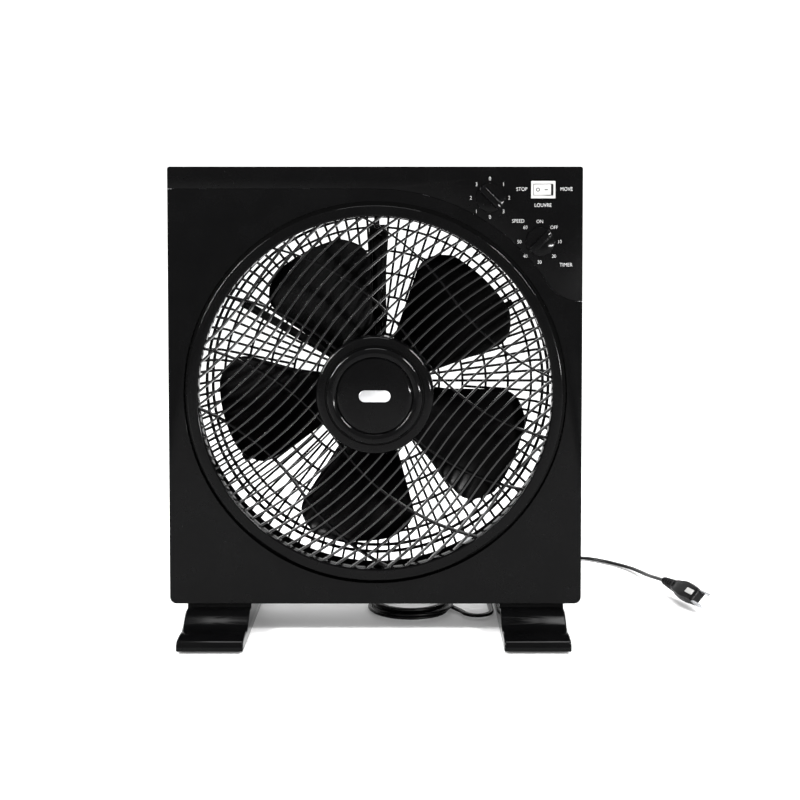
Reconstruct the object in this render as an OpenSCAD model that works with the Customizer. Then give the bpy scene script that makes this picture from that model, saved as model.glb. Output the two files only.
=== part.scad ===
// Box fan with a turning louvre, millimetres.
// Origin: on the floor under the middle of the feet. +Z is up, the front faces -Y.

/* [Body] */
// Width of the body
body_w = 360; // [356:1:440]
// Height of the body, from its underside to its top
body_h = 382; // [378:1:470]
// Depth of the box, without the rear guard
body_d = 66; // [64:1:84]
// Wall thickness of the moulded shells
wall = 2.5; // [2:0.1:3]
// Radius of the two lower corners of the body
lower_corner_r = 6; // [3:0.5:10]
// Radius of the two upper corners of the body
upper_corner_r = 2; // [1:0.5:5]
// Depth of the front shell, from the face back to the joint line
front_shell_d = 40; // [38:1:42]
// Height of the fan axis above the body's underside
axis_h = 185; // [182:1:192]

/* [Louvre] */
// Outer radius of the louvre's visible ring
ring_r = 162.5; // [155:0.5:164]
// Width of the louvre's visible ring
ring_w = 12; // [9:0.5:15]
// Dark gap between the ring and the opening
ring_gap = 4.5; // [3:0.5:5]
// Distance from one slat to the next
slat_pitch = 9.4; // [8:0.1:14]
// Thickness of a slat
slat_t = 1.4; // [1:0.1:2]
// Front-to-back depth of the slats
slat_d = 8; // [5:0.5:9]
// Radius of the two arcs that make a slat's S shape
slat_bend_r = 325; // [250:5:500]
// Steepest angle of a slat, at its middle
slat_angle = 56; // [50:1:62]
// Distance from one cross rib to the next
cross_pitch = 54; // [45:1:70]
// Radius of the two arcs of a cross rib
cross_bend_r = 200; // [180:5:400]
// Outer radius of the hub ring
hub_r = 51; // [46:1:56]
// Radius of the raised dome on the hub
dome_r = 41.5; // [36:0.5:42]

/* [Fan] */
// Tip radius of the blades
tip_r = 138; // [110:1:140]
// Number of blades
blade_count = 5; // [3:1:6]
// Angle that one blade covers
blade_span = 50; // [36:1:54]
// Outer radius of the blades' hub
fan_hub_r = 36; // [30:1:38]
// Radius of the motor shaft
shaft_r = 4; // [3:0.5:5]
// Radial running clearance of every shaft in its bearing
run_gap = 0.05; // [0.02:0.01:0.09]

/* [Motor] */
// Outer radius of the motor
motor_r = 42; // [40:1:44]
// Thickness of the laminated core
core_t = 14; // [10:1:14]

/* [Rear guard] */
// Depth of the guard behind the box
dish_d = 30; // [29:1:36]
// Radius of the guard's flat face, to the outside of its ribs
dish_r = 153.4; // [150:0.2:154]
// Radius of the guard where its sloping side meets the box
dish_mouth_r = 169; // [166:0.5:170]
// Number of ribs
rib_count = 48; // [24:6:54]
// Width of a rib
rib_w = 2.2; // [1.5:0.1:3]

/* [Controls] */
// Radius of both knobs
knob_r = 12.6; // [11:0.1:14]
// Speed knob, distance right of the centre line
speed_x = 99.5; // [96:0.5:101]
// Speed knob, distance below the top of the body
speed_drop = 27; // [26:0.5:28]
// Timer knob, distance right of the centre line
timer_x = 142.7; // [142:0.1:146]
// Timer knob, distance below the top of the body
timer_drop = 65; // [64:0.5:66]
// Rocker switch, distance right of the centre line
rocker_x = 145.5; // [144:0.5:150]
// Rocker switch, distance below the top of the body
rocker_drop = 20; // [19:0.5:22]
// Tilt of the rocker to each side
rocker_tilt = 8; // [5:1:10]

/* [Feet] */
// Height of the body's underside above the floor
floor_gap = 25; // [24:0.5:30]
// Width of a foot
foot_w = 56; // [50:1:60]
// Distance of a foot's middle from the centre line
foot_x = 137; // [134:1:140]
// Length of a foot, front to back
foot_l = 180; // [176:1:230]

/* [Hidden] */
$fn = 64;

// colours
gloss_black = [0.035, 0.035, 0.04];
soft_black = [0.06, 0.06, 0.065];
steel = [0.7, 0.71, 0.73];
dark_steel = [0.35, 0.35, 0.37];
copper = [0.72, 0.36, 0.18];
bronze = [0.65, 0.48, 0.25];
white = [0.93, 0.93, 0.91];
grey_plastic = [0.55, 0.56, 0.58];
rubber = [0.09, 0.09, 0.09];

// main planes and centres
eps = 0.5;
half_w = body_w / 2;
front_y = -body_d / 2;
back_y = body_d / 2;
inner_y = front_y + wall;
split_y = front_y + front_shell_d;
base_z = floor_gap;
top_z = base_z + body_h;
axis_z = base_z + axis_h;
corner_steps = 5;

// louvre
hole_r = ring_r + ring_gap;
track_r = hole_r + 5;
track_t = 2;
track_y = inner_y + 2.5;
ring_in_r = ring_r - ring_w;
crown_h = 4;
slat_back_y = track_y + 1;
slat_front_y = slat_back_y - slat_d;
hub_face_y = front_y - 15;
hub_wall = 2;
hub_hole_r = 36;
dome_front_y = hub_face_y - 6;
cap_r = 33;
cap_y = dome_front_y + 2;
badge_w = 27;
badge_h = 10;
badge_t = 0.8;

// seam of the control panel: level, then concentric with the louvre, then out to the right side
seam_r = track_r + 5.8;
seam_gap = 0.15;
seam_end_a = 33;
seam_blend_r = half_w / cos(seam_end_a) - seam_r;
ledge_below = 4;
ledge_above = 6;
ledge_t = 2;
ledge_gap = 0.4;
panel_screw_x = [-150, -60, 45];

// fan and motor, along the axis
blade_t = 2;
blade_mid_y = -3;
fan_front_y = -17;
fan_back_y = 7;
nut_front_y = -24;
pin_r = 1.25;
pin_l = 20;
pin_y = 5.6;
motor_front_y = 10;
guard_y = back_y + dish_d;
guard_t = 3;
motor_back_y = guard_y;
core_mid_y = (motor_front_y + motor_back_y) / 2;
core_y = core_mid_y - core_t / 2;
bush_l = 7;
bush_r = 7;
bore_r = shaft_r + run_gap;
rotor_r = 22;
air_gap = 0.4;
teeth = 8;
plate_r = motor_r + 4;
motor_screw_r = 30;
motor_screw_count = 3;
cover_wall = 2;

// rear guard
ring_radii = [80, 123];
spoke_w = 8;
top_spoke_w = 14;
flange_r = dish_mouth_r + 7;
flange_t = 2.5;
side_t = 4.4;
side_steps = 3;
side_lap = 0.2;
rear_hole_r = dish_mouth_r;
grille_screw_r = dish_mouth_r + 3.2;

// louvre drive
drive_gap = 0.3;
wheel_r = 9;
tyre_t = 2;
drive_angle = 300;
drive_d = track_r + drive_gap + wheel_r;
gear_can_r = 24;
gear_can_y = inner_y + 12.5;
gear_can_t = 18;
gear_ear = 29;
gear_shaft_r = 2.5;
roller_r = 6;
groove_d = 1.8;
roller_d = track_r + drive_gap + roller_r - groove_d;
roller_angles = [20, 135, 225];
roller_w = 6.2;
roller_y = track_y + track_t / 2 - roller_w / 2;
roller_pin_r = 1.5;

// controls
speed_z = top_z - speed_drop;
timer_z = top_z - timer_drop;
rocker_z = top_z - rocker_drop;
bushing_r = 4.5;
spindle_r = 3;
control_nut_r = 6.4;
knob_y = front_y - 1.3;
knob_h = 5.8;
grip_h = 8;
grip_w = 7;
speed_mark = 135;
timer_mark = 45;
switch_size = 28;
rocker_pivot_y = front_y + 4;
rocker_half_w = 7.4;
rocker_half_h = 4.7;
rocker_body_w = 19;
rocker_body_h = 13;
rocker_bezel_w = 21;
rocker_bezel_h = 15;
rocker_pin_r = 1;

// screws and bosses
screw_r = 1.5;
head_r = 3.1;
head_t = 2.2;
boss_r = 4.5;
corner_inset = 14;
lip_t = 1.5;
lip_l = 4;
lip_gap = 0.15;

// electrical pieces in the lower corners
corner_piece_x = half_w - 37;
corner_piece_z = base_z + 32;
capacitor_w = 38;
capacitor_h = 26;
capacitor_t = 16;
strap_w = 8;
strap_t = 1;
terminal_pitch = 12;
terminal_t = 12;
terminal_h = 14;
terminal_screw_r = 2;

// motor lead and its cover, heights above the axis
lead_r = 2.5;
lead_turn_z = 146;
lead_rise = 26;
cover_w = 10;
cover_t = 7;
cover_shell_t = 1.4;
cover_low_z = motor_r + 10;
cover_high_z = 138;

// feet
foot_screw_y = 18;
foot_screw_r = 2;
pad_r = 8;
pad_t = 3;
pad_show = 0.8;
pad_y = foot_l / 2 - 13;
seat_half = body_d / 2 - 3;
shoulder_z = floor_gap - 4;
toe_z = 9.8;
toe_bump = 0.8;
toe_round = 6;
shoulder_end = 37;
wave_end = foot_l / 2 - 28;
toe_start = foot_l / 2 - toe_round;

// mains lead: route points chosen by hand, in millimetres from the origin
cord_r = 2.5;
cord_sides = 8;
gland_x = -75;
gland_z = 40;
relief_y = 60;
entry_route = [[-75, 60, 40], [-75, 70, 39.5], [-73, 84, 36], [-64, 96, 30], [-50, 101, 23], [-34, 99, 16.5],
    [-17, 92, 11.5], [0, 84, 8.5], [16, 79, 7.6], [31, 77.5, 7.4]];
coil_x = 31;
coil_y = 40;
coil_in_r = 29;
coil_out_r = 40;
coil_h = 10.4;
run_route = [[68, 46, 2.5], [69, 38, 2.5], [73, 30.5, 2.5], [77.5, 23.5, 2.5], [80.5, 16.5, 2.5],
    [85.5, 11.3, 2.5], [92, 9.5, 2.5], [98.5, 11.5, 2.5], [103.2, 16.5, 2.5], [105, 24, 2.5],
    [105, 38, 2.5], [105, 62, 2.5], [105, 90, 2.5], [109, 120, 2.5], [118, 150, 2.5], [134, 178, 2.5],
    [157, 201, 2.5], [187, 215, 2.5], [216, 215, 2.5], [234, 204, 2.5], [248, 189, 2.5],
    [258.5, 171, 3], [264.5, 152, 4], [268.8, 132, 5.8], [272.3, 111, 9], [277, 90, 12]];
plug_x = 277;
plug_y = 90;
plug_z = 12;
plug_turn = -71;
plug_roll = 45;
plug_relief_l = 24;
plug_l = 38;
plug_w = 21;
plug_t = 13;
prong_l = 17;
prong_w = 6.3;
prong_t = 1.5;
prong_gap = 12.7;

// ---------- helpers ----------

function arc(cx, cz, r, a0, a1, n) =
    [for (i = [0:n]) let (a = a0 + (a1 - a0) * i / n) [cx + r * cos(a), cz + r * sin(a)]];

// body outline in the XZ plane, shrunk by inset
function outline(inset) =
    let (w = half_w - inset, lo = base_z + inset, hi = top_z - inset,
        rl = max(lower_corner_r - inset, 0.5), ru = max(upper_corner_r - inset, 0.5))
    concat(arc(w - ru, hi - ru, ru, 0, 90, corner_steps), arc(ru - w, hi - ru, ru, 90, 180, corner_steps),
        arc(rl - w, lo + rl, rl, 180, 270, corner_steps), arc(w - rl, lo + rl, rl, 270, 360, corner_steps));

// area above the panel seam, with the seam moved up by grow
function panel_area(grow) =
    let (bx = (seam_r + seam_blend_r) * cos(seam_end_a),
        bz = axis_z + (seam_r + seam_blend_r) * sin(seam_end_a))
    concat([[-body_w, top_z + body_h], [-body_w, axis_z + seam_r + grow]],
        arc(0, axis_z, seam_r + grow, 90, seam_end_a, 24),
        arc(bx, bz, seam_blend_r - grow, 180 + seam_end_a, 270, 8),
        [[body_w, bz - seam_blend_r + grow], [body_w, top_z + body_h]]);

// height of the seam at a place on its level stretch or its large arc
function seam_z(x) = axis_z + (x < 0 ? seam_r : sqrt(seam_r * seam_r - x * x));

// one point of an S of two equal arcs, at distance s from its middle
function s_point(s, mid, r) =
    let (a = mid - abs(s) / r * 180 / PI, k = s < 0 ? -1 : 1)
    [k * r * (sin(mid) - sin(a)), k * r * (cos(a) - cos(mid))];

function s_side(s, mid, r, t) =
    let (a = mid - abs(s) / r * 180 / PI)
    s_point(s, mid, r) + t / 2 * [-sin(a), cos(a)];

// extrude an XZ profile from y0 to y1
module plate(y0, y1) {
    translate([0, y1, 0]) rotate([90, 0, 0]) linear_extrude(y1 - y0) children();
}

module at_axis() {
    translate([0, 0, axis_z]) children();
}

// turn a profile of [radius, y] points about the fan axis
module lathe(points) {
    rotate([-90, 0, 0]) rotate_extrude() polygon(points);
}

module rod(r, y0, y1) {
    translate([0, y0, 0]) rotate([-90, 0, 0]) cylinder(r = r, h = y1 - y0);
}

module tube(r_out, r_in, y0, y1) {
    difference() {
        rod(r_out, y0, y1);
        rod(r_in, y0 - eps, y1 + eps);
    }
}

module block(x0, x1, y0, y1, z0, z1) {
    translate([x0, y0, z0]) cube([x1 - x0, y1 - y0, z1 - z0]);
}

// place at an angle and a distance from the fan axis, with local X pointing outwards
module polar(angle, distance) {
    at_axis() rotate([0, -angle, 0]) translate([distance, 0, 0]) children();
}

// strip of even thickness along an S, moved sideways by shift
module s_strip(mid, r, t, reach, steps, shift) {
    ends = [for (i = [0:steps]) reach * (2 * i / steps - 1)];
    translate(shift)
        polygon(concat([for (s = ends) s_side(s, mid, r, t)],
            [for (i = [steps:-1:0]) s_side(ends[i], mid, r, -t)]));
}

// tube swept along route points
function along(p, i) = p[min(i + 1, len(p) - 1)] - p[max(i - 1, 0)];
function unit(v) = v / norm(v);

// smooth points through a route, n to each span
function smooth(p, n) =
    concat([for (i = [0:len(p) - 2], j = [0:n - 1])
        let (t = j / n, a = p[max(i - 1, 0)], b = p[i], c = p[i + 1], d = p[min(i + 2, len(p) - 1)])
        0.5 * (2 * b + (c - a) * t + (2 * a - 5 * b + 4 * c - d) * t * t
            + (3 * b - a - 3 * c + d) * t * t * t)], [p[len(p) - 1]]);

module swept(route, r, sides) {
    rings = [for (i = [0:len(route) - 1])
        let (d = unit(along(route, i)), u = unit(cross([0, 0, 1], d)), v = cross(d, u))
        for (k = [0:sides - 1])
            let (a = 360 * k / sides) route[i] + r * cos(a) * u + r * sin(a) * v];
    n = len(route);
    polyhedron(rings, concat([[for (k = [0:sides - 1]) k]],
        [for (i = [0:n - 2], k = [0:sides - 1])
            let (a = i * sides + k, b = i * sides + (k + 1) % sides) [a, a + sides, b + sides]],
        [for (i = [0:n - 2], k = [0:sides - 1])
            let (a = i * sides + k, b = i * sides + (k + 1) % sides) [a, b + sides, b]],
        [[for (k = [sides - 1:-1:0]) (n - 1) * sides + k]]));
}

// pan-head screw along Y, its tip at y0 and its head on y1
module screw_y(r, y0, y1) {
    rod(r, y0, y1);
    rod(head_r, y1, y1 + head_t);
}

// ---------- housing ----------

module corner_places(low, high) {
    for (side = [-1, 1]) {
        if (low) translate([side * (half_w - corner_inset), 0, base_z + corner_inset]) children();
        if (high) translate([side * (half_w - corner_inset), 0, top_z - corner_inset + 2]) children();
    }
}

module front_shell() {
    difference() {
        plate(front_y, split_y) polygon(outline(0));
        plate(inner_y, split_y + eps) polygon(outline(wall));
        at_axis() rod(hole_r, front_y - eps, inner_y + eps);
    }
}

module front_posts(low, high) {
    corner_places(low, high) tube(boss_r, screw_r, inner_y, split_y);
}

module control_places() {
    translate([speed_x, 0, speed_z]) children();
    translate([timer_x, 0, timer_z]) children();
}

// ledge behind the seam, notched round the switch cases and the panel's own posts
module panel_ledge() {
    notch = switch_size / 2 + ledge_gap;
    back = inner_y + ledge_t;
    difference() {
        intersection() {
            plate(inner_y, back) difference() {
                polygon(panel_area(-ledge_below));
                polygon(panel_area(ledge_above));
            }
            plate(inner_y - eps, split_y) polygon(outline(wall));
        }
        control_places() block(-notch, notch, inner_y - eps, back + eps, -notch, notch);
        corner_places(false, true) rod(boss_r + ledge_gap, inner_y - eps, back + eps);
    }
}

module panel_screw_places() {
    for (x = panel_screw_x) translate([x, 0, seam_z(x) + 3]) children();
}

module foot_boss_places(y) {
    for (side = [-1, 1]) translate([side * foot_x, y, base_z + wall]) children();
}

module foot_boss() {
    cylinder(r = boss_r, h = 10);
}

module foot_boss_hole() {
    translate([0, 0, -wall - eps]) cylinder(r = foot_screw_r, h = wall + eps + 9);
}

module front_housing() {
    color(gloss_black) difference() {
        union() {
            difference() {
                front_shell();
                plate(front_y - eps, split_y + eps) polygon(panel_area(-seam_gap));
            }
            panel_ledge();
            front_posts(true, false);
            for (side = [-1, 1])
                polar(drive_angle, drive_d) translate([0, 0, side * gear_ear])
                    rod(3.5, inner_y - eps, gear_can_y);
            foot_boss_places(-foot_screw_y) foot_boss();
        }
        for (side = [-1, 1])
            polar(drive_angle, drive_d) translate([0, 0, side * gear_ear])
                rod(screw_r, gear_can_y - 8, gear_can_y + eps);
        for (a = roller_angles) polar(a, roller_d) rod(roller_pin_r, front_y + 0.7, inner_y + eps);
        panel_screw_places() rod(3.2, inner_y - eps, inner_y + ledge_t + eps);
        foot_boss_places(-foot_screw_y) foot_boss_hole();
    }
}

module control_panel() {
    color(gloss_black) difference() {
        union() {
            intersection() {
                front_shell();
                plate(front_y - eps, split_y + eps) polygon(panel_area(seam_gap));
            }
            front_posts(false, true);
            panel_screw_places() rod(3, inner_y, inner_y + ledge_t);
        }
        panel_screw_places() rod(screw_r, inner_y - 1.2, inner_y + ledge_t + eps);
        control_places() rod(bushing_r, front_y - eps, inner_y + eps);
        translate([rocker_x, 0, rocker_z])
            block(-rocker_body_w / 2, rocker_body_w / 2, front_y - eps, inner_y + eps,
                -rocker_body_h / 2, rocker_body_h / 2);
    }
}

module rear_housing() {
    color(gloss_black) difference() {
        union() {
            difference() {
                plate(split_y, back_y) polygon(outline(0));
                plate(split_y - eps, back_y - wall) polygon(outline(wall));
            }
            difference() {
                union() {
                    plate(split_y - lip_l, split_y) polygon(outline(wall + lip_gap));
                    plate(split_y, split_y + lip_l) polygon(outline(wall));
                }
                plate(split_y - lip_l - eps, split_y + lip_l + eps) polygon(outline(wall + lip_t));
            }
            corner_places(true, true) rod(boss_r, split_y, back_y - wall);
            foot_boss_places(foot_screw_y) foot_boss();
        }
        at_axis() rod(rear_hole_r, back_y - wall - eps, back_y + eps);
        corner_places(true, true) rod(screw_r, split_y - eps, back_y + eps);
        corner_places(true, true) rod(head_r + 0.3, split_y + 4, back_y + eps);
        for (a = [0:60:300]) polar(a, grille_screw_r) rod(screw_r, back_y - wall - eps, back_y + eps);
        foot_boss_places(foot_screw_y) foot_boss_hole();
        translate([gland_x, 0, gland_z]) rod(5, back_y - wall - eps, back_y + eps);
    }
}

module housing_screws() {
    color(dark_steel) corner_places(true, true) screw_y(screw_r, split_y - 12, split_y + 4);
}

module panel_screws() {
    color(dark_steel) panel_screw_places() {
        rod(screw_r, inner_y - 1.2, inner_y + ledge_t);
        rod(4.2, inner_y + ledge_t, inner_y + ledge_t + 1.6);
    }
}

// ---------- rear guard ----------

module guard_ribs(width, r0, r1) {
    for (i = [0:rib_count - 1])
        rotate(90 + 360 * i / rib_count) translate([r0, -width / 2]) square([r1 - r0, width]);
}

module ring_2d(r_out, r_in) {
    difference() {
        circle(r = r_out, $fn = 96);
        circle(r = r_in, $fn = 96);
    }
}

module guard_pattern() {
    offset(delta = 0.01) {
        for (r = ring_radii) ring_2d(r + rib_w / 2, r - rib_w / 2);
        ring_2d(dish_r, dish_r - 2 * side_t);
        guard_ribs(rib_w, plate_r - 1, dish_r - 1);
        for (a = [30:60:330]) rotate(a) translate([0, -(a == 90 ? top_spoke_w : spoke_w) / 2])
            square([dish_r - 2, a == 90 ? top_spoke_w : spoke_w]);
        circle(r = plate_r);
    }
}

// the sloping side is built in steps: where step i starts, and its outer radius there
function side_y(i) = back_y + flange_t + (guard_y - back_y - flange_t) * i / side_steps;
function side_r(i) = dish_mouth_r + (dish_r - dish_mouth_r) * i / side_steps;

module rear_grille() {
    color(gloss_black) difference() {
        union() {
            at_axis() plate(guard_y, guard_y + guard_t) guard_pattern();
            for (i = [0:side_steps - 1]) at_axis()
                plate(side_y(i) - side_lap, side_y(i + 1) + side_lap) offset(delta = 0.01)
                    guard_ribs(rib_w, side_r(i + 1) - side_t, side_r(i) - 0.4);
            at_axis() tube(flange_r, dish_mouth_r - side_t, back_y, back_y + flange_t);
        }
        for (a = [0:60:300]) polar(a, grille_screw_r) rod(screw_r, back_y - eps, back_y + flange_t + eps);
        for (i = [0:motor_screw_count - 1]) polar(360 * i / motor_screw_count, motor_screw_r)
            rod(screw_r, guard_y - eps, guard_y + guard_t + eps);
    }
}

module grille_screws() {
    color(dark_steel) for (a = [0:60:300]) polar(a, grille_screw_r)
        screw_y(screw_r, back_y - 5, back_y + flange_t);
}

// ---------- louvre ----------

module slat_pattern() {
    reach = ring_r + 10;
    count = floor((ring_in_r - 5) / slat_pitch);
    cross_count = floor((ring_in_r - 20) / cross_pitch);
    offset(delta = 0.01) intersection() {
        difference() {
            circle(r = ring_in_r + 1, $fn = 96);
            circle(r = hub_r - 1);
        }
        union() {
            for (k = [-count:count])
                s_strip(slat_angle, slat_bend_r, slat_t, reach, 14,
                    k * slat_pitch * [cos(slat_angle + 81), sin(slat_angle + 81)]);
            mirror([0, 1]) for (k = [-cross_count:cross_count])
                s_strip(slat_angle, cross_bend_r, slat_t, reach, 14,
                    k * cross_pitch * [cos(slat_angle - 109), sin(slat_angle - 109)]);
        }
    }
}

module louvre_grille() {
    crown_r = ring_w / 2;
    ring_mid = ring_r - crown_r;
    crown = [for (i = [0:12]) let (a = 180 - 15 * i)
        [ring_mid + crown_r * cos(a), front_y - crown_h * sin(a)]];
    color(gloss_black) at_axis() {
        difference() {
            union() {
                lathe(concat([[ring_in_r, track_y + track_t]], crown,
                    [[ring_r, track_y], [track_r, track_y], [track_r, track_y + track_t]]));
                plate(slat_front_y, slat_back_y) slat_pattern();
                lathe([[hub_r - hub_wall, slat_back_y], [hub_r, slat_back_y], [hub_r, hub_face_y + 4],
                    [hub_r - 1, hub_face_y + 1], [hub_r - 3, hub_face_y], [hub_hole_r, hub_face_y],
                    [hub_hole_r, hub_face_y + hub_wall], [hub_r - hub_wall, hub_face_y + hub_wall]]);
            }
            // groove that the dome's rim drops into
            tube(dome_r + 1.2, hub_hole_r - 1, hub_face_y - eps, hub_face_y + 1);
        }
    }
}

module hub_dome() {
    rim = [for (i = [0:8]) let (a = 22.5 * i)
        [(dome_r + cap_r) / 2 + (dome_r - cap_r) / 2 * cos(a), dome_front_y + 3 - 3 * sin(a)]];
    color(gloss_black) at_axis() lathe(concat([[0, cap_y + 1.8], [0, cap_y + 0.8], [cap_r, cap_y + 0.8]],
        [for (i = [8:-1:0]) rim[i]],
        [[dome_r, hub_face_y + 1], [hub_hole_r - 0.1, hub_face_y + 1], [hub_hole_r - 0.1, hub_face_y + 5],
        [hub_hole_r - 2, hub_face_y + 5], [hub_hole_r - 2, cap_y + 1.8]]));
}

module hub_cap() {
    color(gloss_black) at_axis() lathe([[0, cap_y + 0.8], [0, cap_y - 1], [cap_r - 4, cap_y - 1],
        [cap_r - 1, cap_y - 0.4], [cap_r - 0.2, cap_y + 0.2], [cap_r - 0.2, cap_y + 0.8]]);
}

module hub_badge() {
    straight = badge_w / 2 - badge_h / 2;
    color(steel) at_axis() {
        block(-straight, straight, cap_y - 1 - badge_t, cap_y - 1, -badge_h / 2, badge_h / 2);
        for (side = [-1, 1])
            translate([side * straight, 0, 0]) rod(badge_h / 2, cap_y - 1 - badge_t, cap_y - 1);
    }
}

// ---------- fan and motor ----------

// half the angle of a blade at radius r: even, then rounded towards the tip
function blade_half(r) = blade_span / 2 * (1 - 0.45 * pow(max(0, (r - tip_r + 30) / 30), 3));
// depth of a blade at radius r
function blade_depth(r) = 17 + 17 * sin(min(90, (r - fan_hub_r) * 1.6)) - 6 * pow(r / tip_r, 8);

module blade() {
    rows = 8;
    cols = 8;
    r0 = fan_hub_r - 1.5;
    function radius(i) = r0 + (tip_r - r0) * (1 - pow(1 - i / rows, 1.5));
    function place(i, j, side) =
        let (r = radius(i), t = 2 * j / cols - 1, a = t * blade_half(r))
        [r * cos(a), blade_mid_y + t * blade_depth(r) / 2 - 3 * (1 - t * t) + side * blade_t / 2, r * sin(a)];
    points = [for (side = [-1, 1], i = [0:rows], j = [0:cols]) place(i, j, side)];
    back = (rows + 1) * (cols + 1);
    function at(i, j) = i * (cols + 1) + j;
    // each square of the skin is split in two so that every face is flat
    polyhedron(points, concat(
        [for (i = [0:rows - 1], j = [0:cols - 1]) [at(i, j), at(i, j + 1), at(i + 1, j + 1)]],
        [for (i = [0:rows - 1], j = [0:cols - 1]) [at(i, j), at(i + 1, j + 1), at(i + 1, j)]],
        [for (i = [0:rows - 1], j = [0:cols - 1]) [back + at(i, j), back + at(i + 1, j + 1), back + at(i, j + 1)]],
        [for (i = [0:rows - 1], j = [0:cols - 1]) [back + at(i, j), back + at(i + 1, j), back + at(i + 1, j + 1)]],
        [for (j = [0:cols - 1]) [at(0, j), back + at(0, j), back + at(0, j + 1)]],
        [for (j = [0:cols - 1]) [at(0, j), back + at(0, j + 1), at(0, j + 1)]],
        [for (j = [0:cols - 1]) [at(rows, j), back + at(rows, j + 1), back + at(rows, j)]],
        [for (j = [0:cols - 1]) [at(rows, j), at(rows, j + 1), back + at(rows, j + 1)]],
        [for (i = [0:rows - 1]) [at(i, 0), back + at(i + 1, 0), back + at(i, 0)]],
        [for (i = [0:rows - 1]) [at(i, 0), at(i + 1, 0), back + at(i + 1, 0)]],
        [for (i = [0:rows - 1]) [at(i, cols), back + at(i, cols), back + at(i + 1, cols)]],
        [for (i = [0:rows - 1]) [at(i, cols), back + at(i + 1, cols), at(i + 1, cols)]]));
}

module fan_blade() {
    color(soft_black) difference() {
        at_axis() union() {
            lathe([[shaft_r, fan_front_y], [fan_hub_r - 3, fan_front_y], [fan_hub_r, fan_front_y + 3],
                [fan_hub_r, fan_back_y], [fan_hub_r - 3, fan_back_y], [fan_hub_r - 3, fan_front_y + 3],
                [shaft_r + 8, fan_front_y + 3], [shaft_r + 8, fan_back_y], [shaft_r, fan_back_y]]);
            for (i = [0:blade_count - 1]) rotate([0, -46 - 360 * i / blade_count, 0]) blade();
        }
        at_axis() block(-pin_l / 2 - 1, pin_l / 2 + 1, pin_y - pin_r, fan_back_y + eps, -pin_r, pin_r);
    }
}

module blade_nut() {
    color(grey_plastic) at_axis() lathe([[0, nut_front_y], [6, nut_front_y], [9, nut_front_y + 3],
        [9, fan_front_y], [shaft_r, fan_front_y], [shaft_r, nut_front_y + 2], [0, nut_front_y + 2]]);
}

module drive_pin() {
    color(steel) at_axis() translate([-pin_l / 2, pin_y, 0]) rotate([0, 90, 0])
        cylinder(r = pin_r, h = pin_l);
}

module motor_shaft() {
    color(steel) at_axis() difference() {
        rod(shaft_r, nut_front_y + 2, motor_back_y - 2.5);
        translate([-pin_l / 2, pin_y, 0]) rotate([0, 90, 0]) cylinder(r = pin_r, h = pin_l);
    }
}

module rotor() {
    color(grey_plastic) at_axis() lathe([[shaft_r, core_y], [rotor_r - 6, core_y], [rotor_r - 6, core_y - 2],
        [rotor_r - 1, core_y - 2], [rotor_r - 1, core_y], [rotor_r, core_y], [rotor_r, core_y + core_t],
        [rotor_r - 1, core_y + core_t], [rotor_r - 1, core_y + core_t + 2], [rotor_r - 6, core_y + core_t + 2],
        [rotor_r - 6, core_y + core_t], [shaft_r, core_y + core_t]]);
}

module thrust_washers() {
    color(steel) at_axis() {
        tube(shaft_r + 2.5, shaft_r, motor_front_y + bush_l + 0.3, motor_front_y + bush_l + 1.3);
        tube(shaft_r + 2.5, shaft_r, motor_back_y - 2 - bush_l - 1.3, motor_back_y - 2 - bush_l - 0.3);
    }
}

module front_bushing() {
    color(bronze) at_axis() tube(bush_r, bore_r, motor_front_y, motor_front_y + bush_l);
}

module rear_bushing() {
    color(bronze) at_axis() tube(bush_r, bore_r, motor_back_y - 2 - bush_l, motor_back_y - 2);
}

module motor_front_cover() {
    color(dark_steel) at_axis() lathe([[bush_r, motor_front_y], [motor_r - 4, motor_front_y],
        [motor_r, motor_front_y + 4], [motor_r, core_y], [motor_r - cover_wall, core_y],
        [motor_r - cover_wall, motor_front_y + 5], [motor_r - 5, motor_front_y + cover_wall],
        [bush_r + 3, motor_front_y + cover_wall], [bush_r + 3, motor_front_y + bush_l],
        [bush_r, motor_front_y + bush_l]]);
}

module motor_rear_cover() {
    color(dark_steel) difference() {
        union() {
            at_axis() lathe([[0, motor_back_y], [motor_r - 4, motor_back_y], [motor_r, motor_back_y - 4],
                [motor_r, core_y + core_t], [motor_r - cover_wall, core_y + core_t],
                [motor_r - cover_wall, motor_back_y - 5], [motor_r - 5, motor_back_y - cover_wall],
                [bush_r + 3, motor_back_y - cover_wall], [bush_r + 3, motor_back_y - 2 - bush_l],
                [bush_r, motor_back_y - 2 - bush_l], [bush_r, motor_back_y - 2], [0, motor_back_y - 2]]);
            for (i = [0:motor_screw_count - 1]) polar(360 * i / motor_screw_count, motor_screw_r)
                rod(boss_r, motor_back_y - 7, motor_back_y - 1);
        }
        for (i = [0:motor_screw_count - 1]) polar(360 * i / motor_screw_count, motor_screw_r)
            rod(screw_r, motor_back_y - 6, motor_back_y + eps);
    }
}

module tooth_places() {
    for (i = [0:teeth - 1]) rotate(360 * i / teeth) children();
}

module stator_core() {
    color(steel) at_axis() plate(core_y, core_y + core_t) difference() {
        union() {
            difference() {
                circle(r = motor_r);
                circle(r = motor_r - 6);
            }
            tooth_places() translate([rotor_r - 2, -4]) square([motor_r - rotor_r - 2, 8]);
        }
        circle(r = rotor_r + air_gap);
    }
}

module stator_windings() {
    color(copper) at_axis() difference() {
        tube(motor_r - 6.2, rotor_r + 3, core_y - 7, core_y + core_t + 7);
        plate(core_y - 0.2, core_y + core_t + 0.2) tooth_places()
            translate([rotor_r - 4, -4.2]) square([motor_r, 8.4]);
    }
}

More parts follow.
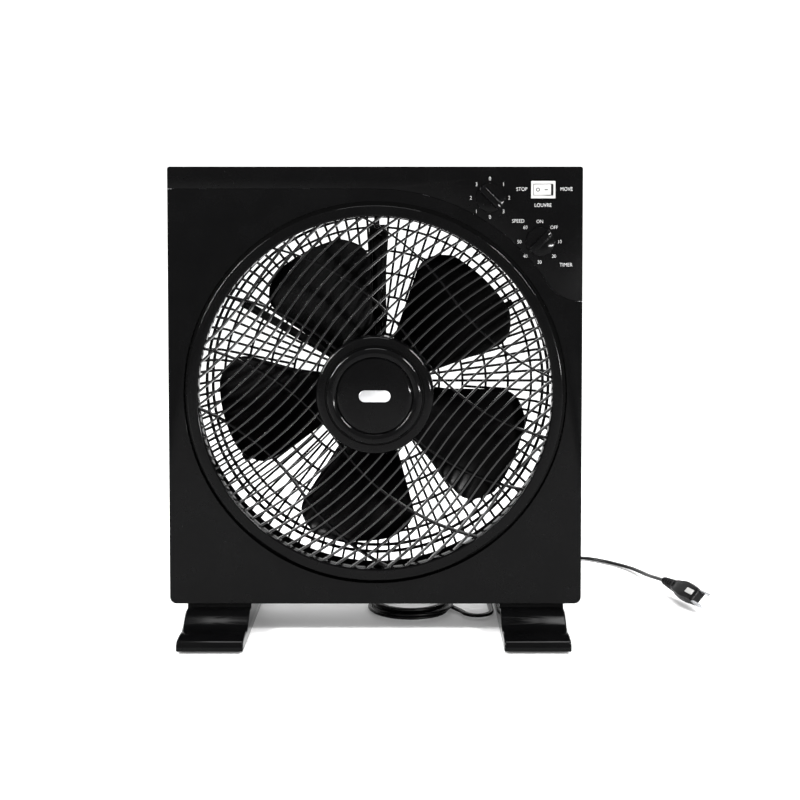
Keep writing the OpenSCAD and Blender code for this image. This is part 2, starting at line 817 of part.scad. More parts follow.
module motor_screws() {
    color(dark_steel) for (i = [0:motor_screw_count - 1])
        polar(360 * i / motor_screw_count, motor_screw_r)
            screw_y(screw_r, motor_back_y - 6, guard_y + guard_t);
}

// ---------- louvre drive ----------

module louvre_motor() {
    color(steel) polar(drive_angle, drive_d) difference() {
        union() {
            rod(gear_can_r, gear_can_y, gear_can_y + gear_can_t);
            block(-5, 5, gear_can_y, gear_can_y + 1.5, -gear_ear - 4, gear_ear + 4);
        }
        rod(gear_shaft_r + run_gap, gear_can_y - eps, gear_can_y + 12);
        for (side = [-1, 1]) translate([0, 0, side * gear_ear])
            rod(screw_r, gear_can_y - eps, gear_can_y + 2);
    }
}

module louvre_motor_shaft() {
    color(steel) polar(drive_angle, drive_d) rod(gear_shaft_r, roller_y, gear_can_y + 11);
}

module drive_wheel() {
    color(grey_plastic) polar(drive_angle, drive_d)
        tube(wheel_r - tyre_t, gear_shaft_r, roller_y + 0.2, roller_y + roller_w - 0.2);
}

module drive_tyre() {
    color(rubber) polar(drive_angle, drive_d)
        tube(wheel_r, wheel_r - tyre_t, roller_y + 0.6, roller_y + roller_w - 0.6);
}

module louvre_motor_screws() {
    color(dark_steel) for (side = [-1, 1])
        polar(drive_angle, drive_d) translate([0, 0, side * gear_ear])
            screw_y(screw_r, gear_can_y - 8, gear_can_y + 1.5);
}

module guide_roller(index) {
    mid = roller_y + roller_w / 2;
    groove = track_t / 2 + 0.3;
    color(white) polar(roller_angles[index], roller_d) lathe([[roller_pin_r + run_gap, roller_y],
        [roller_r, roller_y], [roller_r, mid - groove], [roller_r - groove_d, mid - groove],
        [roller_r - groove_d, mid + groove], [roller_r, mid + groove], [roller_r, roller_y + roller_w],
        [roller_pin_r + run_gap, roller_y + roller_w]]);
}

module guide_roller_1() {
    guide_roller(0);
}

module guide_roller_2() {
    guide_roller(1);
}

module guide_roller_3() {
    guide_roller(2);
}

module roller_pins() {
    color(steel) for (a = roller_angles) polar(a, roller_d) {
        rod(roller_pin_r, front_y + 0.7, roller_y + roller_w + 0.4);
        rod(head_r, roller_y + roller_w + 0.4, roller_y + roller_w + 1.6);
    }
}

// ---------- controls ----------

module control_case(depth) {
    difference() {
        union() {
            block(-switch_size / 2, switch_size / 2, inner_y, inner_y + depth,
                -switch_size / 2, switch_size / 2);
            rod(bushing_r, knob_y - 2, inner_y);
        }
        rod(spindle_r + run_gap, knob_y - 2 - eps, inner_y + depth - 2);
    }
}

module control_nut() {
    difference() {
        translate([0, front_y - 2.2, 0]) rotate([-90, 0, 0]) cylinder(r = control_nut_r, h = 2.2, $fn = 6);
        rod(bushing_r, front_y - 3, front_y + eps);
    }
}

module control_spindle(depth) {
    rod(spindle_r, knob_y - knob_h - grip_h + 3, inner_y + depth - 2.5);
}

// knob with a skirt, a grip bar across it and a pointer end at local +Z
module knob() {
    roof_y = knob_y - knob_h;
    difference() {
        union() {
            lathe([[spindle_r, roof_y], [knob_r - 0.8, roof_y], [knob_r, roof_y + 0.8], [knob_r, knob_y],
                [knob_r - 1.4, knob_y], [knob_r - 1.4, roof_y + 2], [spindle_r, roof_y + 2]]);
            intersection() {
                block(-grip_w / 2, grip_w / 2, roof_y - grip_h, roof_y + 0.2, -knob_r, knob_r);
                rod(knob_r - 0.6, roof_y - grip_h - eps, roof_y + 1);
            }
        }
        rod(spindle_r, roof_y - grip_h + 3, roof_y + 3);
        block(-0.5, 0.5, roof_y - grip_h - eps, roof_y - grip_h + 0.5, 3, knob_r);
    }
}

module speed_switch() {
    color(grey_plastic) translate([speed_x, 0, speed_z]) control_case(15);
}

module speed_nut() {
    color(steel) translate([speed_x, 0, speed_z]) control_nut();
}

module speed_spindle() {
    color(steel) translate([speed_x, 0, speed_z]) control_spindle(15);
}

module speed_knob() {
    color(gloss_black) translate([speed_x, 0, speed_z]) rotate([0, speed_mark, 0]) knob();
}

module timer_body() {
    color(grey_plastic) translate([timer_x, 0, timer_z]) control_case(26);
}

module timer_nut() {
    color(steel) translate([timer_x, 0, timer_z]) control_nut();
}

module timer_spindle() {
    color(steel) translate([timer_x, 0, timer_z]) control_spindle(26);
}

module timer_knob() {
    color(gloss_black) translate([timer_x, 0, timer_z]) rotate([0, timer_mark, 0]) knob();
}

module rocker_frame() {
    open_w = rocker_half_w + 1.3;
    open_h = rocker_half_h + 0.35;
    color(white) translate([rocker_x, 0, rocker_z]) difference() {
        union() {
            block(-rocker_bezel_w / 2, rocker_bezel_w / 2, front_y - 2, front_y,
                -rocker_bezel_h / 2, rocker_bezel_h / 2);
            block(-rocker_body_w / 2, rocker_body_w / 2, front_y - eps, front_y + 19,
                -rocker_body_h / 2, rocker_body_h / 2);
        }
        block(-open_w, open_w, front_y - 3, front_y + 12, -open_h, open_h);
        translate([0, rocker_pivot_y, -rocker_half_h - 1.6])
            cylinder(r = rocker_pin_r + run_gap, h = 2 * rocker_half_h + 3.2);
    }
}

module rocker_button() {
    color(white) translate([rocker_x, rocker_pivot_y, rocker_z]) rotate([0, 0, -rocker_tilt]) union() {
        translate([0, 0, -rocker_half_h]) linear_extrude(2 * rocker_half_h)
            polygon([[-rocker_half_w, -6.9], [0, -6.1], [rocker_half_w, -6.9], [rocker_half_w, 0],
                [4, 4], [-4, 4], [-rocker_half_w, 0]]);
        translate([0, 0, -rocker_half_h - 1.4]) cylinder(r = rocker_pin_r, h = 2 * rocker_half_h + 2.8);
    }
}

module rocker_terminals() {
    color(bronze) translate([rocker_x, 0, rocker_z]) for (x = [-6, 0])
        block(x - 0.4, x + 0.4, front_y + 19, front_y + 27, -2.4, 2.4);
}

// ---------- electrical pieces in the lower corners ----------

// block standing on the inside of the front wall, with its middle at local X and Z
module on_front_wall(w, t, h) {
    block(-w / 2, w / 2, inner_y, inner_y + t, -h / 2, h / 2);
}

module capacitor() {
    color(grey_plastic) translate([-corner_piece_x, 0, corner_piece_z])
        on_front_wall(capacitor_w, capacitor_t, capacitor_h);
}

module capacitor_strap() {
    color(steel) translate([-corner_piece_x, 0, corner_piece_z]) difference() {
        on_front_wall(capacitor_w + 6 * strap_t, capacitor_t + strap_t, strap_w);
        on_front_wall(capacitor_w, capacitor_t, strap_w + 2 * strap_t);
    }
}

module terminal_block() {
    color(white) translate([corner_piece_x, 0, corner_piece_z]) difference() {
        on_front_wall(3 * terminal_pitch, terminal_t, terminal_h);
        for (x = [-terminal_pitch, 0, terminal_pitch])
            translate([x, 0, 0]) rod(terminal_screw_r, inner_y + 4, inner_y + terminal_t + eps);
    }
}

module motor_lead() {
    outer_y = guard_y - lead_r - 0.3;
    inside_y = back_y - wall - lead_r - 0.5;
    color(rubber) at_axis() {
        translate([0, outer_y, motor_r]) cylinder(r = lead_r, h = lead_turn_z - motor_r);
        translate([0, outer_y, lead_turn_z]) sphere(r = lead_r);
        translate([0, 0, lead_turn_z]) rod(lead_r, inside_y, outer_y);
        translate([0, inside_y, lead_turn_z]) sphere(r = lead_r);
        translate([0, inside_y, lead_turn_z]) cylinder(r = lead_r, h = lead_rise);
    }
}

module lead_cover() {
    half_cover = cover_w / 2;
    half_inside = half_cover - cover_shell_t;
    color(gloss_black) at_axis() difference() {
        block(-half_cover, half_cover, guard_y - cover_t, guard_y, cover_low_z, cover_high_z);
        block(-half_inside, half_inside, guard_y - cover_t + cover_shell_t - 0.2, guard_y + eps,
            cover_low_z - 1, cover_high_z + 1);
    }
}

// ---------- feet ----------

// height of a foot's top at distance a from its middle, beyond the seat
function foot_top(a) =
    a < shoulder_end ? shoulder_z
    : a < wave_end ? toe_z + (shoulder_z - toe_z) * (1 + cos(180 * (a - shoulder_end) / (wave_end - shoulder_end))) / 2
    : toe_z + toe_bump * sin(180 * (a - wave_end) / (toe_start - wave_end));

// one half of the outline, from the toe to the seat, lowered by drop and shortened by the same
function foot_half(drop) = concat([[foot_l / 2 - drop, pad_show]],
    [for (i = [0:5]) let (a = 18 * i)
        [toe_start + (toe_round - drop) * cos(a), toe_z - toe_round + (toe_round - drop) * sin(a)]],
    [for (i = [0:7]) let (a = toe_start - (i + 1) * (toe_start - wave_end) / 9) [a, foot_top(a) - drop]],
    [for (i = [0:9]) let (a = wave_end - i * (wave_end - shoulder_end) / 9) [a, foot_top(a) - drop]],
    [[seat_half + 1.5 - drop / 2, shoulder_z - drop], [seat_half - drop / 2, floor_gap - drop]]);

function flipped(p) = [for (i = [len(p) - 1:-1:0]) [-p[i][0], p[i][1]]];

module foot() {
    half_foot = foot_w / 2;
    difference() {
        union() {
            difference() {
                translate([-half_foot, 0, 0]) rotate([90, 0, 90]) linear_extrude(foot_w)
                    polygon(concat(foot_half(0), flipped(foot_half(0))));
                translate([wall - half_foot, 0, 0]) rotate([90, 0, 90]) linear_extrude(foot_w - 2 * wall)
                    polygon(concat([[foot_l / 2 - wall, -1]], foot_half(wall), flipped(foot_half(wall)),
                        [[wall - foot_l / 2, -1]]));
            }
            for (side = [-1, 1]) {
                translate([0, side * pad_y, pad_show]) cylinder(r = pad_r + 1.5, h = toe_z - 2);
                translate([0, side * foot_screw_y, 6]) cylinder(r = boss_r + 1, h = floor_gap - 7);
            }
        }
        for (side = [-1, 1]) {
            translate([0, side * pad_y, -1]) cylinder(r = pad_r, h = pad_t + 1);
            translate([0, side * foot_screw_y, 0]) cylinder(r = foot_screw_r, h = floor_gap + 1);
            translate([0, side * foot_screw_y, 0]) cylinder(r = 4, h = 12);
        }
    }
}

module left_foot() {
    color(gloss_black) translate([-foot_x, 0, 0]) foot();
}

module right_foot() {
    color(gloss_black) translate([foot_x, 0, 0]) foot();
}

module foot_pads() {
    color(rubber) for (x = [-foot_x, foot_x], y = [-pad_y, pad_y])
        translate([x, y, 0]) cylinder(r = pad_r, h = pad_t);
}

module foot_screws() {
    color(dark_steel) for (x = [-foot_x, foot_x], y = [-foot_screw_y, foot_screw_y]) translate([x, y, 0]) {
        translate([0, 0, 12]) cylinder(r = foot_screw_r, h = floor_gap + wall + 9 - 12);
        translate([0, 0, 9.5]) cylinder(r = 3.8, h = 2.5);
    }
}

// ---------- mains lead ----------

module strain_relief() {
    color(rubber) translate([gland_x, 0, gland_z]) lathe([[0, back_y - wall - 2], [7, back_y - wall - 2],
        [7, back_y - wall], [5, back_y - wall], [5, back_y], [7, back_y], [7, back_y + 2], [4.6, back_y + 3],
        [cord_r + 0.6, relief_y], [0, relief_y]]);
}

module cord_entry() {
    color(rubber) swept(smooth(entry_route, 2), cord_r, cord_sides);
}

module cord_coil() {
    color(rubber) translate([coil_x, coil_y, 0]) rotate_extrude()
        translate([coil_in_r, 0]) square([coil_out_r - coil_in_r, coil_h]);
}

module cord_run() {
    color(rubber) swept(smooth(run_route, 2), cord_r, cord_sides);
}

// lies on its lower edge, rolled so that its flat side faces up
module plug_place() {
    translate([plug_x, plug_y, plug_z]) rotate([0, 0, plug_turn]) rotate([plug_roll, 0, 0]) children();
}

module plug_body() {
    nose = plug_relief_l + plug_l;
    half_plug = plug_w / 2;
    color(soft_black) plug_place() {
        rotate([0, 90, 0]) cylinder(r1 = cord_r + 0.8, r2 = 5.5, h = plug_relief_l + 1);
        translate([0, 0, -plug_t / 2]) linear_extrude(plug_t) polygon([[plug_relief_l, -6],
            [plug_relief_l + 8, -half_plug + 2], [plug_relief_l + 14, -half_plug], [nose, -half_plug],
            [nose, half_plug], [plug_relief_l + 14, half_plug], [plug_relief_l + 8, half_plug - 2],
            [plug_relief_l, 6]]);
    }
}

module plug_pins() {
    color(steel) plug_place() for (side = [-1, 1])
        translate([plug_relief_l + plug_l, side * prong_gap / 2 - prong_t / 2, -prong_w / 2])
            cube([prong_l, prong_t, prong_w]);
}

// ---------- what is drawn ----------

front_housing();
control_panel();
rear_housing();
rear_grille();
louvre_grille();
hub_dome();
hub_cap();
hub_badge();
fan_blade();
blade_nut();
drive_pin();
motor_shaft();
rotor();
thrust_washers();
front_bushing();
rear_bushing();
motor_front_cover();
motor_rear_cover();
stator_core();
stator_windings();
motor_screws();
louvre_motor();
louvre_motor_shaft();
drive_wheel();
drive_tyre();
louvre_motor_screws();
guide_roller_1();
guide_roller_2();
guide_roller_3();
roller_pins();
speed_switch();
speed_nut();
speed_spindle();
speed_knob();
timer_body();
timer_nut();
timer_spindle();
timer_knob();
rocker_frame();
rocker_button();
rocker_terminals();
capacitor();
capacitor_strap();
terminal_block();
motor_lead();
lead_cover();
left_foot();
right_foot();
foot_pads();
foot_screws();
housing_screws();
panel_screws();
grille_screws();
strain_relief();
cord_entry();
cord_coil();
cord_run();
plug_body();
plug_pins();
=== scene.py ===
# Box fan with a turning louvre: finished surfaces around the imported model.
from math import atan2, cos, hypot, pi, radians, sin, tan

import bmesh
import bpy
from mathutils import Matrix, Vector


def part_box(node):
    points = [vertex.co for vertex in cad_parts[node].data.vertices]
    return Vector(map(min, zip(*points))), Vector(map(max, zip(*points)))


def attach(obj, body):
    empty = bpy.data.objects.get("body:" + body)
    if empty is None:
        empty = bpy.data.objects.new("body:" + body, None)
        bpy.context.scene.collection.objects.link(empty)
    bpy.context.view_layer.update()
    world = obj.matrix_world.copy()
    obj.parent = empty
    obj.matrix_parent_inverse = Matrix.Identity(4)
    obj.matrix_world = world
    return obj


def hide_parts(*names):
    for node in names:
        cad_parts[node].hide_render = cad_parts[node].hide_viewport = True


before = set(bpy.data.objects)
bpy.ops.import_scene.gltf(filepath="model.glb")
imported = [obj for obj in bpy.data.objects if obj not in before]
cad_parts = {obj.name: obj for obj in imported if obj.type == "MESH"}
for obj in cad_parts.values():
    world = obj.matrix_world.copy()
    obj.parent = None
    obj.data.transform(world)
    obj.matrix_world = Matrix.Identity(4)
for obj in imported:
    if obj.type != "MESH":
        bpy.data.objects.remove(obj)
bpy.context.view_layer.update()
MM = 0.001
COLLECTION = bpy.context.scene.collection


def box_mm(node):
    low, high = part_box(node)
    return low / MM, high / MM


# ---------- sizes, in millimetres, worked out from the frame ----------

front_low, front_high = box_mm("front_housing")
_, panel_high = box_mm("control_panel")
_, rear_high = box_mm("rear_housing")
_, guard_high = box_mm("rear_grille")
louvre_low, louvre_high = box_mm("louvre_grille")
dome_low, dome_high = box_mm("hub_dome")
cap_low, cap_high = box_mm("hub_cap")
badge_low, badge_high = box_mm("hub_badge")

half_w = front_high.x
front_y = front_low.y
back_y = rear_high.y
split_y = panel_high.y
base_z = front_low.z
top_z = panel_high.z
axis_z = (louvre_low.z + louvre_high.z) / 2
wall = 2.5
lower_corner_r = 6
upper_corner_r = 2

track_r = louvre_high.x
hole_r = track_r - 5
ring_r = hole_r - 3.5
ring_w = 9.5
ring_in_r = ring_r - ring_w
track_y = louvre_high.y - 2
hub_r = 51
hub_face_y = louvre_low.y
hub_hole_r = 36
dome_r = dome_high.x
dome_y = dome_low.y
cap_r = cap_high.x
cap_y = cap_low.y

slat_t = 1.7
slat_d = 8
slat_pitch = 9.4
slat_angle = 56
slat_bend_r = 325
cross_pitch = 54
cross_bend_r = 200

seam_r = track_r + 5.8
seam_end_a = 33
seam_blend_r = half_w / cos(radians(seam_end_a)) - seam_r
seam_gap = 0.15

guard_y = guard_high.y - 3
guard_in_y = guard_high.y
flange_r = guard_high.x
mouth_r = flange_r - 7
dish_r = 153.4
plate_r = 46


# ---------- materials ----------

def nodes_of(material):
    tree = material.node_tree
    return tree, tree.nodes, tree.links, tree.nodes["Principled BSDF"]


def noise(tree, scale, detail=4.0, stretch=(1, 1, 1), distortion=0.0):
    place = tree.nodes.new("ShaderNodeTexCoord")
    mapping = tree.nodes.new("ShaderNodeMapping")
    mapping.inputs["Scale"].default_value = stretch
    texture = tree.nodes.new("ShaderNodeTexNoise")
    texture.inputs["Scale"].default_value = scale
    texture.inputs["Detail"].default_value = detail
    texture.inputs["Distortion"].default_value = distortion
    tree.links.new(place.outputs["Object"], mapping.inputs["Vector"])
    tree.links.new(mapping.outputs["Vector"], texture.inputs["Vector"])
    return texture.outputs["Fac"]


def remap(tree, value, low, high, from_low=0.3, from_high=0.7):
    node = tree.nodes.new("ShaderNodeMapRange")
    node.inputs["From Min"].default_value = from_low
    node.inputs["From Max"].default_value = from_high
    node.inputs["To Min"].default_value = low
    node.inputs["To Max"].default_value = high
    tree.links.new(value, node.inputs["Value"])
    return node.outputs["Result"]


def blend_colours(tree, value, first, second):
    ramp = tree.nodes.new("ShaderNodeValToRGB")
    ramp.color_ramp.elements[0].position = 0.3
    ramp.color_ramp.elements[0].color = (*first, 1)
    ramp.color_ramp.elements[1].position = 0.7
    ramp.color_ramp.elements[1].color = (*second, 1)
    tree.links.new(value, ramp.inputs["Fac"])
    return ramp.outputs["Color"]


def bump(tree, value, distance, strength=1.0):
    node = tree.nodes.new("ShaderNodeBump")
    node.inputs["Strength"].default_value = strength
    node.inputs["Distance"].default_value = distance
    tree.links.new(value, node.inputs["Height"])
    return node.outputs["Normal"]


def finish_material(name, first, second, rough, metallic=0.0, grain=900, grain_depth=0.00001,
                    patch=35, specular=0.5, stretch=(1, 1, 1), coat=0.0):
    """A surface with slow colour and gloss changes and a fine moulded or machined grain."""
    material = bpy.data.materials.new(name)
    material.use_nodes = True
    tree, nodes, links, shader = nodes_of(material)
    slow = noise(tree, patch, 5)
    fine = noise(tree, grain, 3, stretch)
    links.new(blend_colours(tree, slow, first, second), shader.inputs["Base Color"])
    links.new(remap(tree, slow, *rough), shader.inputs["Roughness"])
    links.new(bump(tree, fine, grain_depth), shader.inputs["Normal"])
    shader.inputs["Metallic"].default_value = metallic
    shader.inputs["Specular IOR Level"].default_value = specular
    shader.inputs["Coat Weight"].default_value = coat
    shader.inputs["Coat Roughness"].default_value = 0.08
    return material


gloss_black = finish_material("gloss_black", (0.001, 0.001, 0.0011), (0.0017, 0.0017, 0.0018), (0.06, 0.1),
                              grain=420, grain_depth=0.000004, specular=0.055)
slat_black = finish_material("slat_black", (0.001, 0.001, 0.0011), (0.002, 0.002, 0.0021), (0.12, 0.2),
                             grain=420, grain_depth=0.000004, specular=0.3)
grille_black = finish_material("grille_black", (0.002, 0.002, 0.0021), (0.003, 0.003, 0.0032), (0.2, 0.3),
                               specular=0.08)
blade_black = finish_material("blade_black", (0.0008, 0.0008, 0.0009), (0.0014, 0.0014, 0.0015), (0.16, 0.28),
                              specular=0.05)
soft_black = finish_material("soft_black", (0.003, 0.003, 0.0032), (0.005, 0.005, 0.0052), (0.22, 0.32),
                             specular=0.1)
steel = finish_material("steel", (0.52, 0.53, 0.55), (0.66, 0.67, 0.69), (0.22, 0.36), 1.0,
                        1400, 0.000008, stretch=(1, 0.08, 1))
laminated_steel = finish_material("laminated_steel", (0.2, 0.2, 0.21), (0.34, 0.34, 0.36), (0.35, 0.5), 1.0,
                                  1800, 0.00006, stretch=(0.02, 1, 0.02))
dark_steel = finish_material("dark_steel", (0.09, 0.09, 0.1), (0.15, 0.15, 0.16), (0.3, 0.45), 1.0,
                             1200, 0.00001)
copper = finish_material("copper", (0.45, 0.14, 0.05), (0.62, 0.24, 0.1), (0.25, 0.4), 1.0,
                         900, 0.00015, stretch=(1, 0.05, 1))
bronze = finish_material("bronze", (0.34, 0.22, 0.08), (0.46, 0.31, 0.13), (0.4, 0.55), 1.0,
                         2200, 0.00003)
silver_badge = finish_material("silver_badge", (0.34, 0.345, 0.35), (0.42, 0.42, 0.425), (0.3, 0.4), 0.85,
                               1500, 0.000006, stretch=(0.1, 1, 1))
white_plastic = finish_material("white_plastic", (0.4, 0.4, 0.395), (0.45, 0.45, 0.44), (0.3, 0.38),
                                specular=0.25)
grey_plastic = finish_material("grey_plastic", (0.3, 0.31, 0.32), (0.38, 0.39, 0.4), (0.42, 0.55))
print_white = finish_material("print_white", (0.5, 0.5, 0.5), (0.58, 0.58, 0.58), (0.5, 0.6),
                              grain=2500, grain_depth=0.000004)
mark_black = finish_material("mark_black", (0.02, 0.02, 0.02), (0.035, 0.035, 0.035), (0.45, 0.55))
rubber = finish_material("rubber", (0.018, 0.018, 0.018), (0.03, 0.03, 0.03), (0.6, 0.75),
                         grain=1600, grain_depth=0.00003)
cord_pvc = finish_material("cord_pvc", (0.0025, 0.0025, 0.0026), (0.004, 0.004, 0.0041), (0.24, 0.34),
                           grain=700, grain_depth=0.00001, specular=0.08)

for node_name, material in {
    "blade_nut": grey_plastic, "drive_pin": steel, "motor_shaft": steel, "rotor": laminated_steel,
    "thrust_washers": steel, "front_bushing": bronze, "rear_bushing": bronze,
    "motor_front_cover": dark_steel, "motor_rear_cover": dark_steel, "stator_core": laminated_steel,
    "stator_windings": copper, "motor_screws": dark_steel, "louvre_motor": steel,
    "louvre_motor_shaft": steel, "drive_wheel": grey_plastic, "drive_tyre": rubber,
    "louvre_motor_screws": dark_steel, "guide_roller_1": white_plastic, "guide_roller_2": white_plastic,
    "guide_roller_3": white_plastic, "roller_pins": steel, "speed_switch": grey_plastic,
    "speed_nut": steel, "speed_spindle": steel, "timer_body": grey_plastic, "timer_nut": steel,
    "timer_spindle": steel, "rocker_terminals": bronze, "capacitor": grey_plastic,
    "capacitor_strap": steel, "terminal_block": white_plastic, "motor_lead": cord_pvc,
    "foot_pads": rubber, "foot_screws": dark_steel, "housing_screws": dark_steel,
    "panel_screws": dark_steel, "grille_screws": dark_steel,
}.items():
    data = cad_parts[node_name].data
    data.materials.clear()
    data.materials.append(material)


# ---------- mesh helpers, in millimetres ----------

def put(bm, name, material, body, nodes=(), smooth=35, bevel=0.0, solid=0.0, segments=3):
    """Closes a bmesh into a piece in metres that rides on a body and stands for its nodes."""
    bmesh.ops.remove_doubles(bm, verts=bm.verts, dist=0.002)
    bmesh.ops.recalc_face_normals(bm, faces=bm.faces)
    bmesh.ops.scale(bm, vec=(MM, MM, MM), verts=bm.verts)
    mesh = bpy.data.meshes.new(name)
    bm.to_mesh(mesh)
    bm.free()
    mesh.shade_smooth()
    mesh.set_sharp_from_angle(angle=radians(smooth))
    mesh.materials.append(material)
    piece = bpy.data.objects.new(name, mesh)
    COLLECTION.objects.link(piece)
    if solid:
        shell = piece.modifiers.new("wall", "SOLIDIFY")
        shell.thickness = solid * MM
        shell.offset = -1
        shell.use_even_offset = True
    if bevel:
        edge = piece.modifiers.new("edges", "BEVEL")
        edge.width = bevel * MM
        edge.segments = segments
        edge.limit_method = "ANGLE"
        edge.angle_limit = radians(40)
        edge.harden_normals = False
    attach(piece, body)
    if nodes:
        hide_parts(*nodes)
    return piece


def arc(cx, cz, r, a0, a1, steps):
    return [(cx + r * cos(radians(a0 + (a1 - a0) * i / steps)),
             cz + r * sin(radians(a0 + (a1 - a0) * i / steps))) for i in range(steps + 1)]


def loop_edges(bm, points, y, closed=True):
    verts = [bm.verts.new((x, y, z)) for x, z in points]
    pairs = list(zip(verts, verts[1:])) + ([(verts[-1], verts[0])] if closed else [])
    return [bm.edges.new(pair) for pair in pairs]


def fill(bm, edges):
    return bmesh.ops.triangle_fill(bm, use_beauty=True, use_dissolve=False, edges=edges)


def pull(bm, edges, dy):
    """Draws edges out along Y into a wall and gives the far edges back."""
    drawn = bmesh.ops.extrude_edge_only(bm, edges=edges)["geom"]
    bmesh.ops.translate(bm, vec=(0, dy, 0), verts=verts_of(drawn))
    return [g for g in drawn if isinstance(g, bmesh.types.BMEdge)]


def lathe(bm, profile, steps=96, x=0.0, z=None, closed=True):
    """Turns a profile of (radius, y) points about an axis along Y."""
    centre_z = axis_z if z is None else z
    verts = [bm.verts.new((x + r, y, centre_z)) for r, y in profile]
    pairs = list(zip(verts, verts[1:])) + ([(verts[-1], verts[0])] if closed else [])
    edges = [bm.edges.new(pair) for pair in pairs]
    bmesh.ops.spin(bm, geom=verts + edges, cent=(x, 0, centre_z), axis=(0, 1, 0), dvec=(0, 0, 0),
                   angle=2 * pi, steps=steps, use_merge=True, use_normal_flip=False, use_duplicate=False)


def brick(bm, low, high):
    """A box between two corners; gives its vertices back."""
    verts = bmesh.ops.create_cube(bm, size=1)["verts"]
    size = Vector(high) - Vector(low)
    bmesh.ops.scale(bm, vec=size, verts=verts)
    bmesh.ops.translate(bm, vec=(Vector(high) + Vector(low)) / 2, verts=verts)
    return verts


def edges_of(verts):
    return list({edge for vert in verts for edge in vert.link_edges})


def round_edges(bm, edges, r, segments=3):
    bmesh.ops.bevel(bm, geom=edges, offset=r, offset_type="OFFSET", segments=segments, profile=0.5,
                    affect="EDGES", clamp_overlap=True, material=-1)


def verts_of(geom):
    return [g for g in geom if isinstance(g, bmesh.types.BMVert)]


def turn_on_axis(bm, angle):
    bmesh.ops.rotate(bm, cent=(0, 0, axis_z), matrix=Matrix.Rotation(radians(angle), 3, "Y"), verts=bm.verts)


def repeat_round(bm, count, start=0.0):
    """Turns all that the bmesh holds into count copies round the fan axis."""
    if start:
        turn_on_axis(bm, start)
    bmesh.ops.spin(bm, geom=bm.verts[:] + bm.edges[:] + bm.faces[:], cent=(0, 0, axis_z), axis=(0, 1, 0),
                   dvec=(0, 0, 0), angle=2 * pi * (count - 1) / count, steps=count - 1,
                   use_merge=False, use_normal_flip=False, use_duplicate=True)


def join_in(bm, other):
    """Adds all of another bmesh to this one and frees the other."""
    spare = bpy.data.meshes.new("spare")
    other.to_mesh(spare)
    other.free()
    bm.from_mesh(spare)
    bpy.data.meshes.remove(spare)


# ---------- camera ----------

camera_data = bpy.data.cameras.new("camera")
camera_data.lens = 57.65
camera_data.sensor_width = 36
camera_data.shift_x = -0.0114
camera_data.shift_y = -0.15
camera = bpy.data.objects.new("camera", camera_data)
camera.location = (0.0295, -1.1441, 0.3509)
camera.rotation_euler = (radians(90 - 2.17), 0, 0)
COLLECTION.objects.link(camera)
bpy.context.scene.camera = camera


# ---------- mains lead ----------

cord_w = 5.0
cord_t = 2.9
coil_centre = (31, 40)
coil_outer = 37.5
coil_inner = 32.2
turn_steps = 36
entry_route = [(-75, 60, 40), (-75, 70, 39.5), (-73, 84, 36), (-64, 96, 30), (-50, 101, 23), (-34, 98, 16.5),
               (-17, 90, 11.5), (0, 80.5, 8.5), (15, 74.5, 7.5)]
run_route = [(69, 38, 1.6), (73, 30.5, 1.6), (77.5, 23.5, 1.6), (80.5, 16.5, 1.6), (85.5, 11.3, 1.6),
             (92, 9.5, 1.6), (98.5, 11.5, 1.6), (103.2, 16.5, 1.6), (105, 24, 1.6), (105, 38, 1.6),
             (105, 62, 1.6), (105, 90, 1.6), (109, 120, 1.6), (118, 150, 1.6), (134, 178, 1.6),
             (157, 201, 1.6), (187, 215, 1.6), (216, 215, 1.6), (234, 204, 1.6), (248, 189, 1.7),
             (258.5, 171, 2.6), (264.5, 152, 4), (268.8, 132, 5.8), (272.3, 111, 9), (277, 90, 12)]


def ease(t):
    t = min(1, max(0, t))
    return t * t * (3 - 2 * t)


def coil_route():
    """Four turns and a bit, wound clockwise from above, from the top of the inner pile to the floor."""
    stops = [(0, coil_inner, 7.3), (0.86, coil_inner, 7.3), (1.06, coil_inner, 4.4), (1.68, coil_inner, 4.4),
             (1.88, coil_outer, 4.4), (2.5, coil_outer, 4.4), (2.75, coil_inner, 1.6),
             (3.22, coil_inner, 1.6), (3.42, coil_outer, 1.6), (5, coil_outer, 1.6)]
    last = 4 + (pi / 2 - atan2(6, 37)) / (2 * pi)
    count = int(last * turn_steps)
    points = []
    for i in range(count + 1):
        turn = last * i / count
        k = max(j for j in range(len(stops) - 1) if stops[j][0] <= turn)
        share = ease((turn - stops[k][0]) / (stops[k + 1][0] - stops[k][0]))
        r, z = (stops[k][n] + (stops[k + 1][n] - stops[k][n]) * share for n in (1, 2))
        a = pi / 2 - 2 * pi * turn
        points.append((coil_centre[0] + r * cos(a), coil_centre[1] + r * sin(a), z))
    return points


def smoothed(points, n):
    result = []
    for i in range(len(points) - 1):
        a, b = Vector(points[max(i - 1, 0)]), Vector(points[i])
        c, d = Vector(points[i + 1]), Vector(points[min(i + 2, len(points) - 1)])
        for j in range(n):
            t = j / n
            result.append(0.5 * (2 * b + (c - a) * t + (2 * a - 5 * b + 4 * c - d) * t * t
                                 + (3 * b - a - 3 * c + d) * t ** 3))
    return result + [Vector(points[-1])]


def twin_section():
    """Two cores side by side, seen end on: a figure of eight with a shallow web."""
    core_r = cord_t / 2
    off = cord_w / 2 - core_r
    right = arc(off, 0, core_r, -135, 135, 8)
    return right + [(-x, -y) for x, y in right]


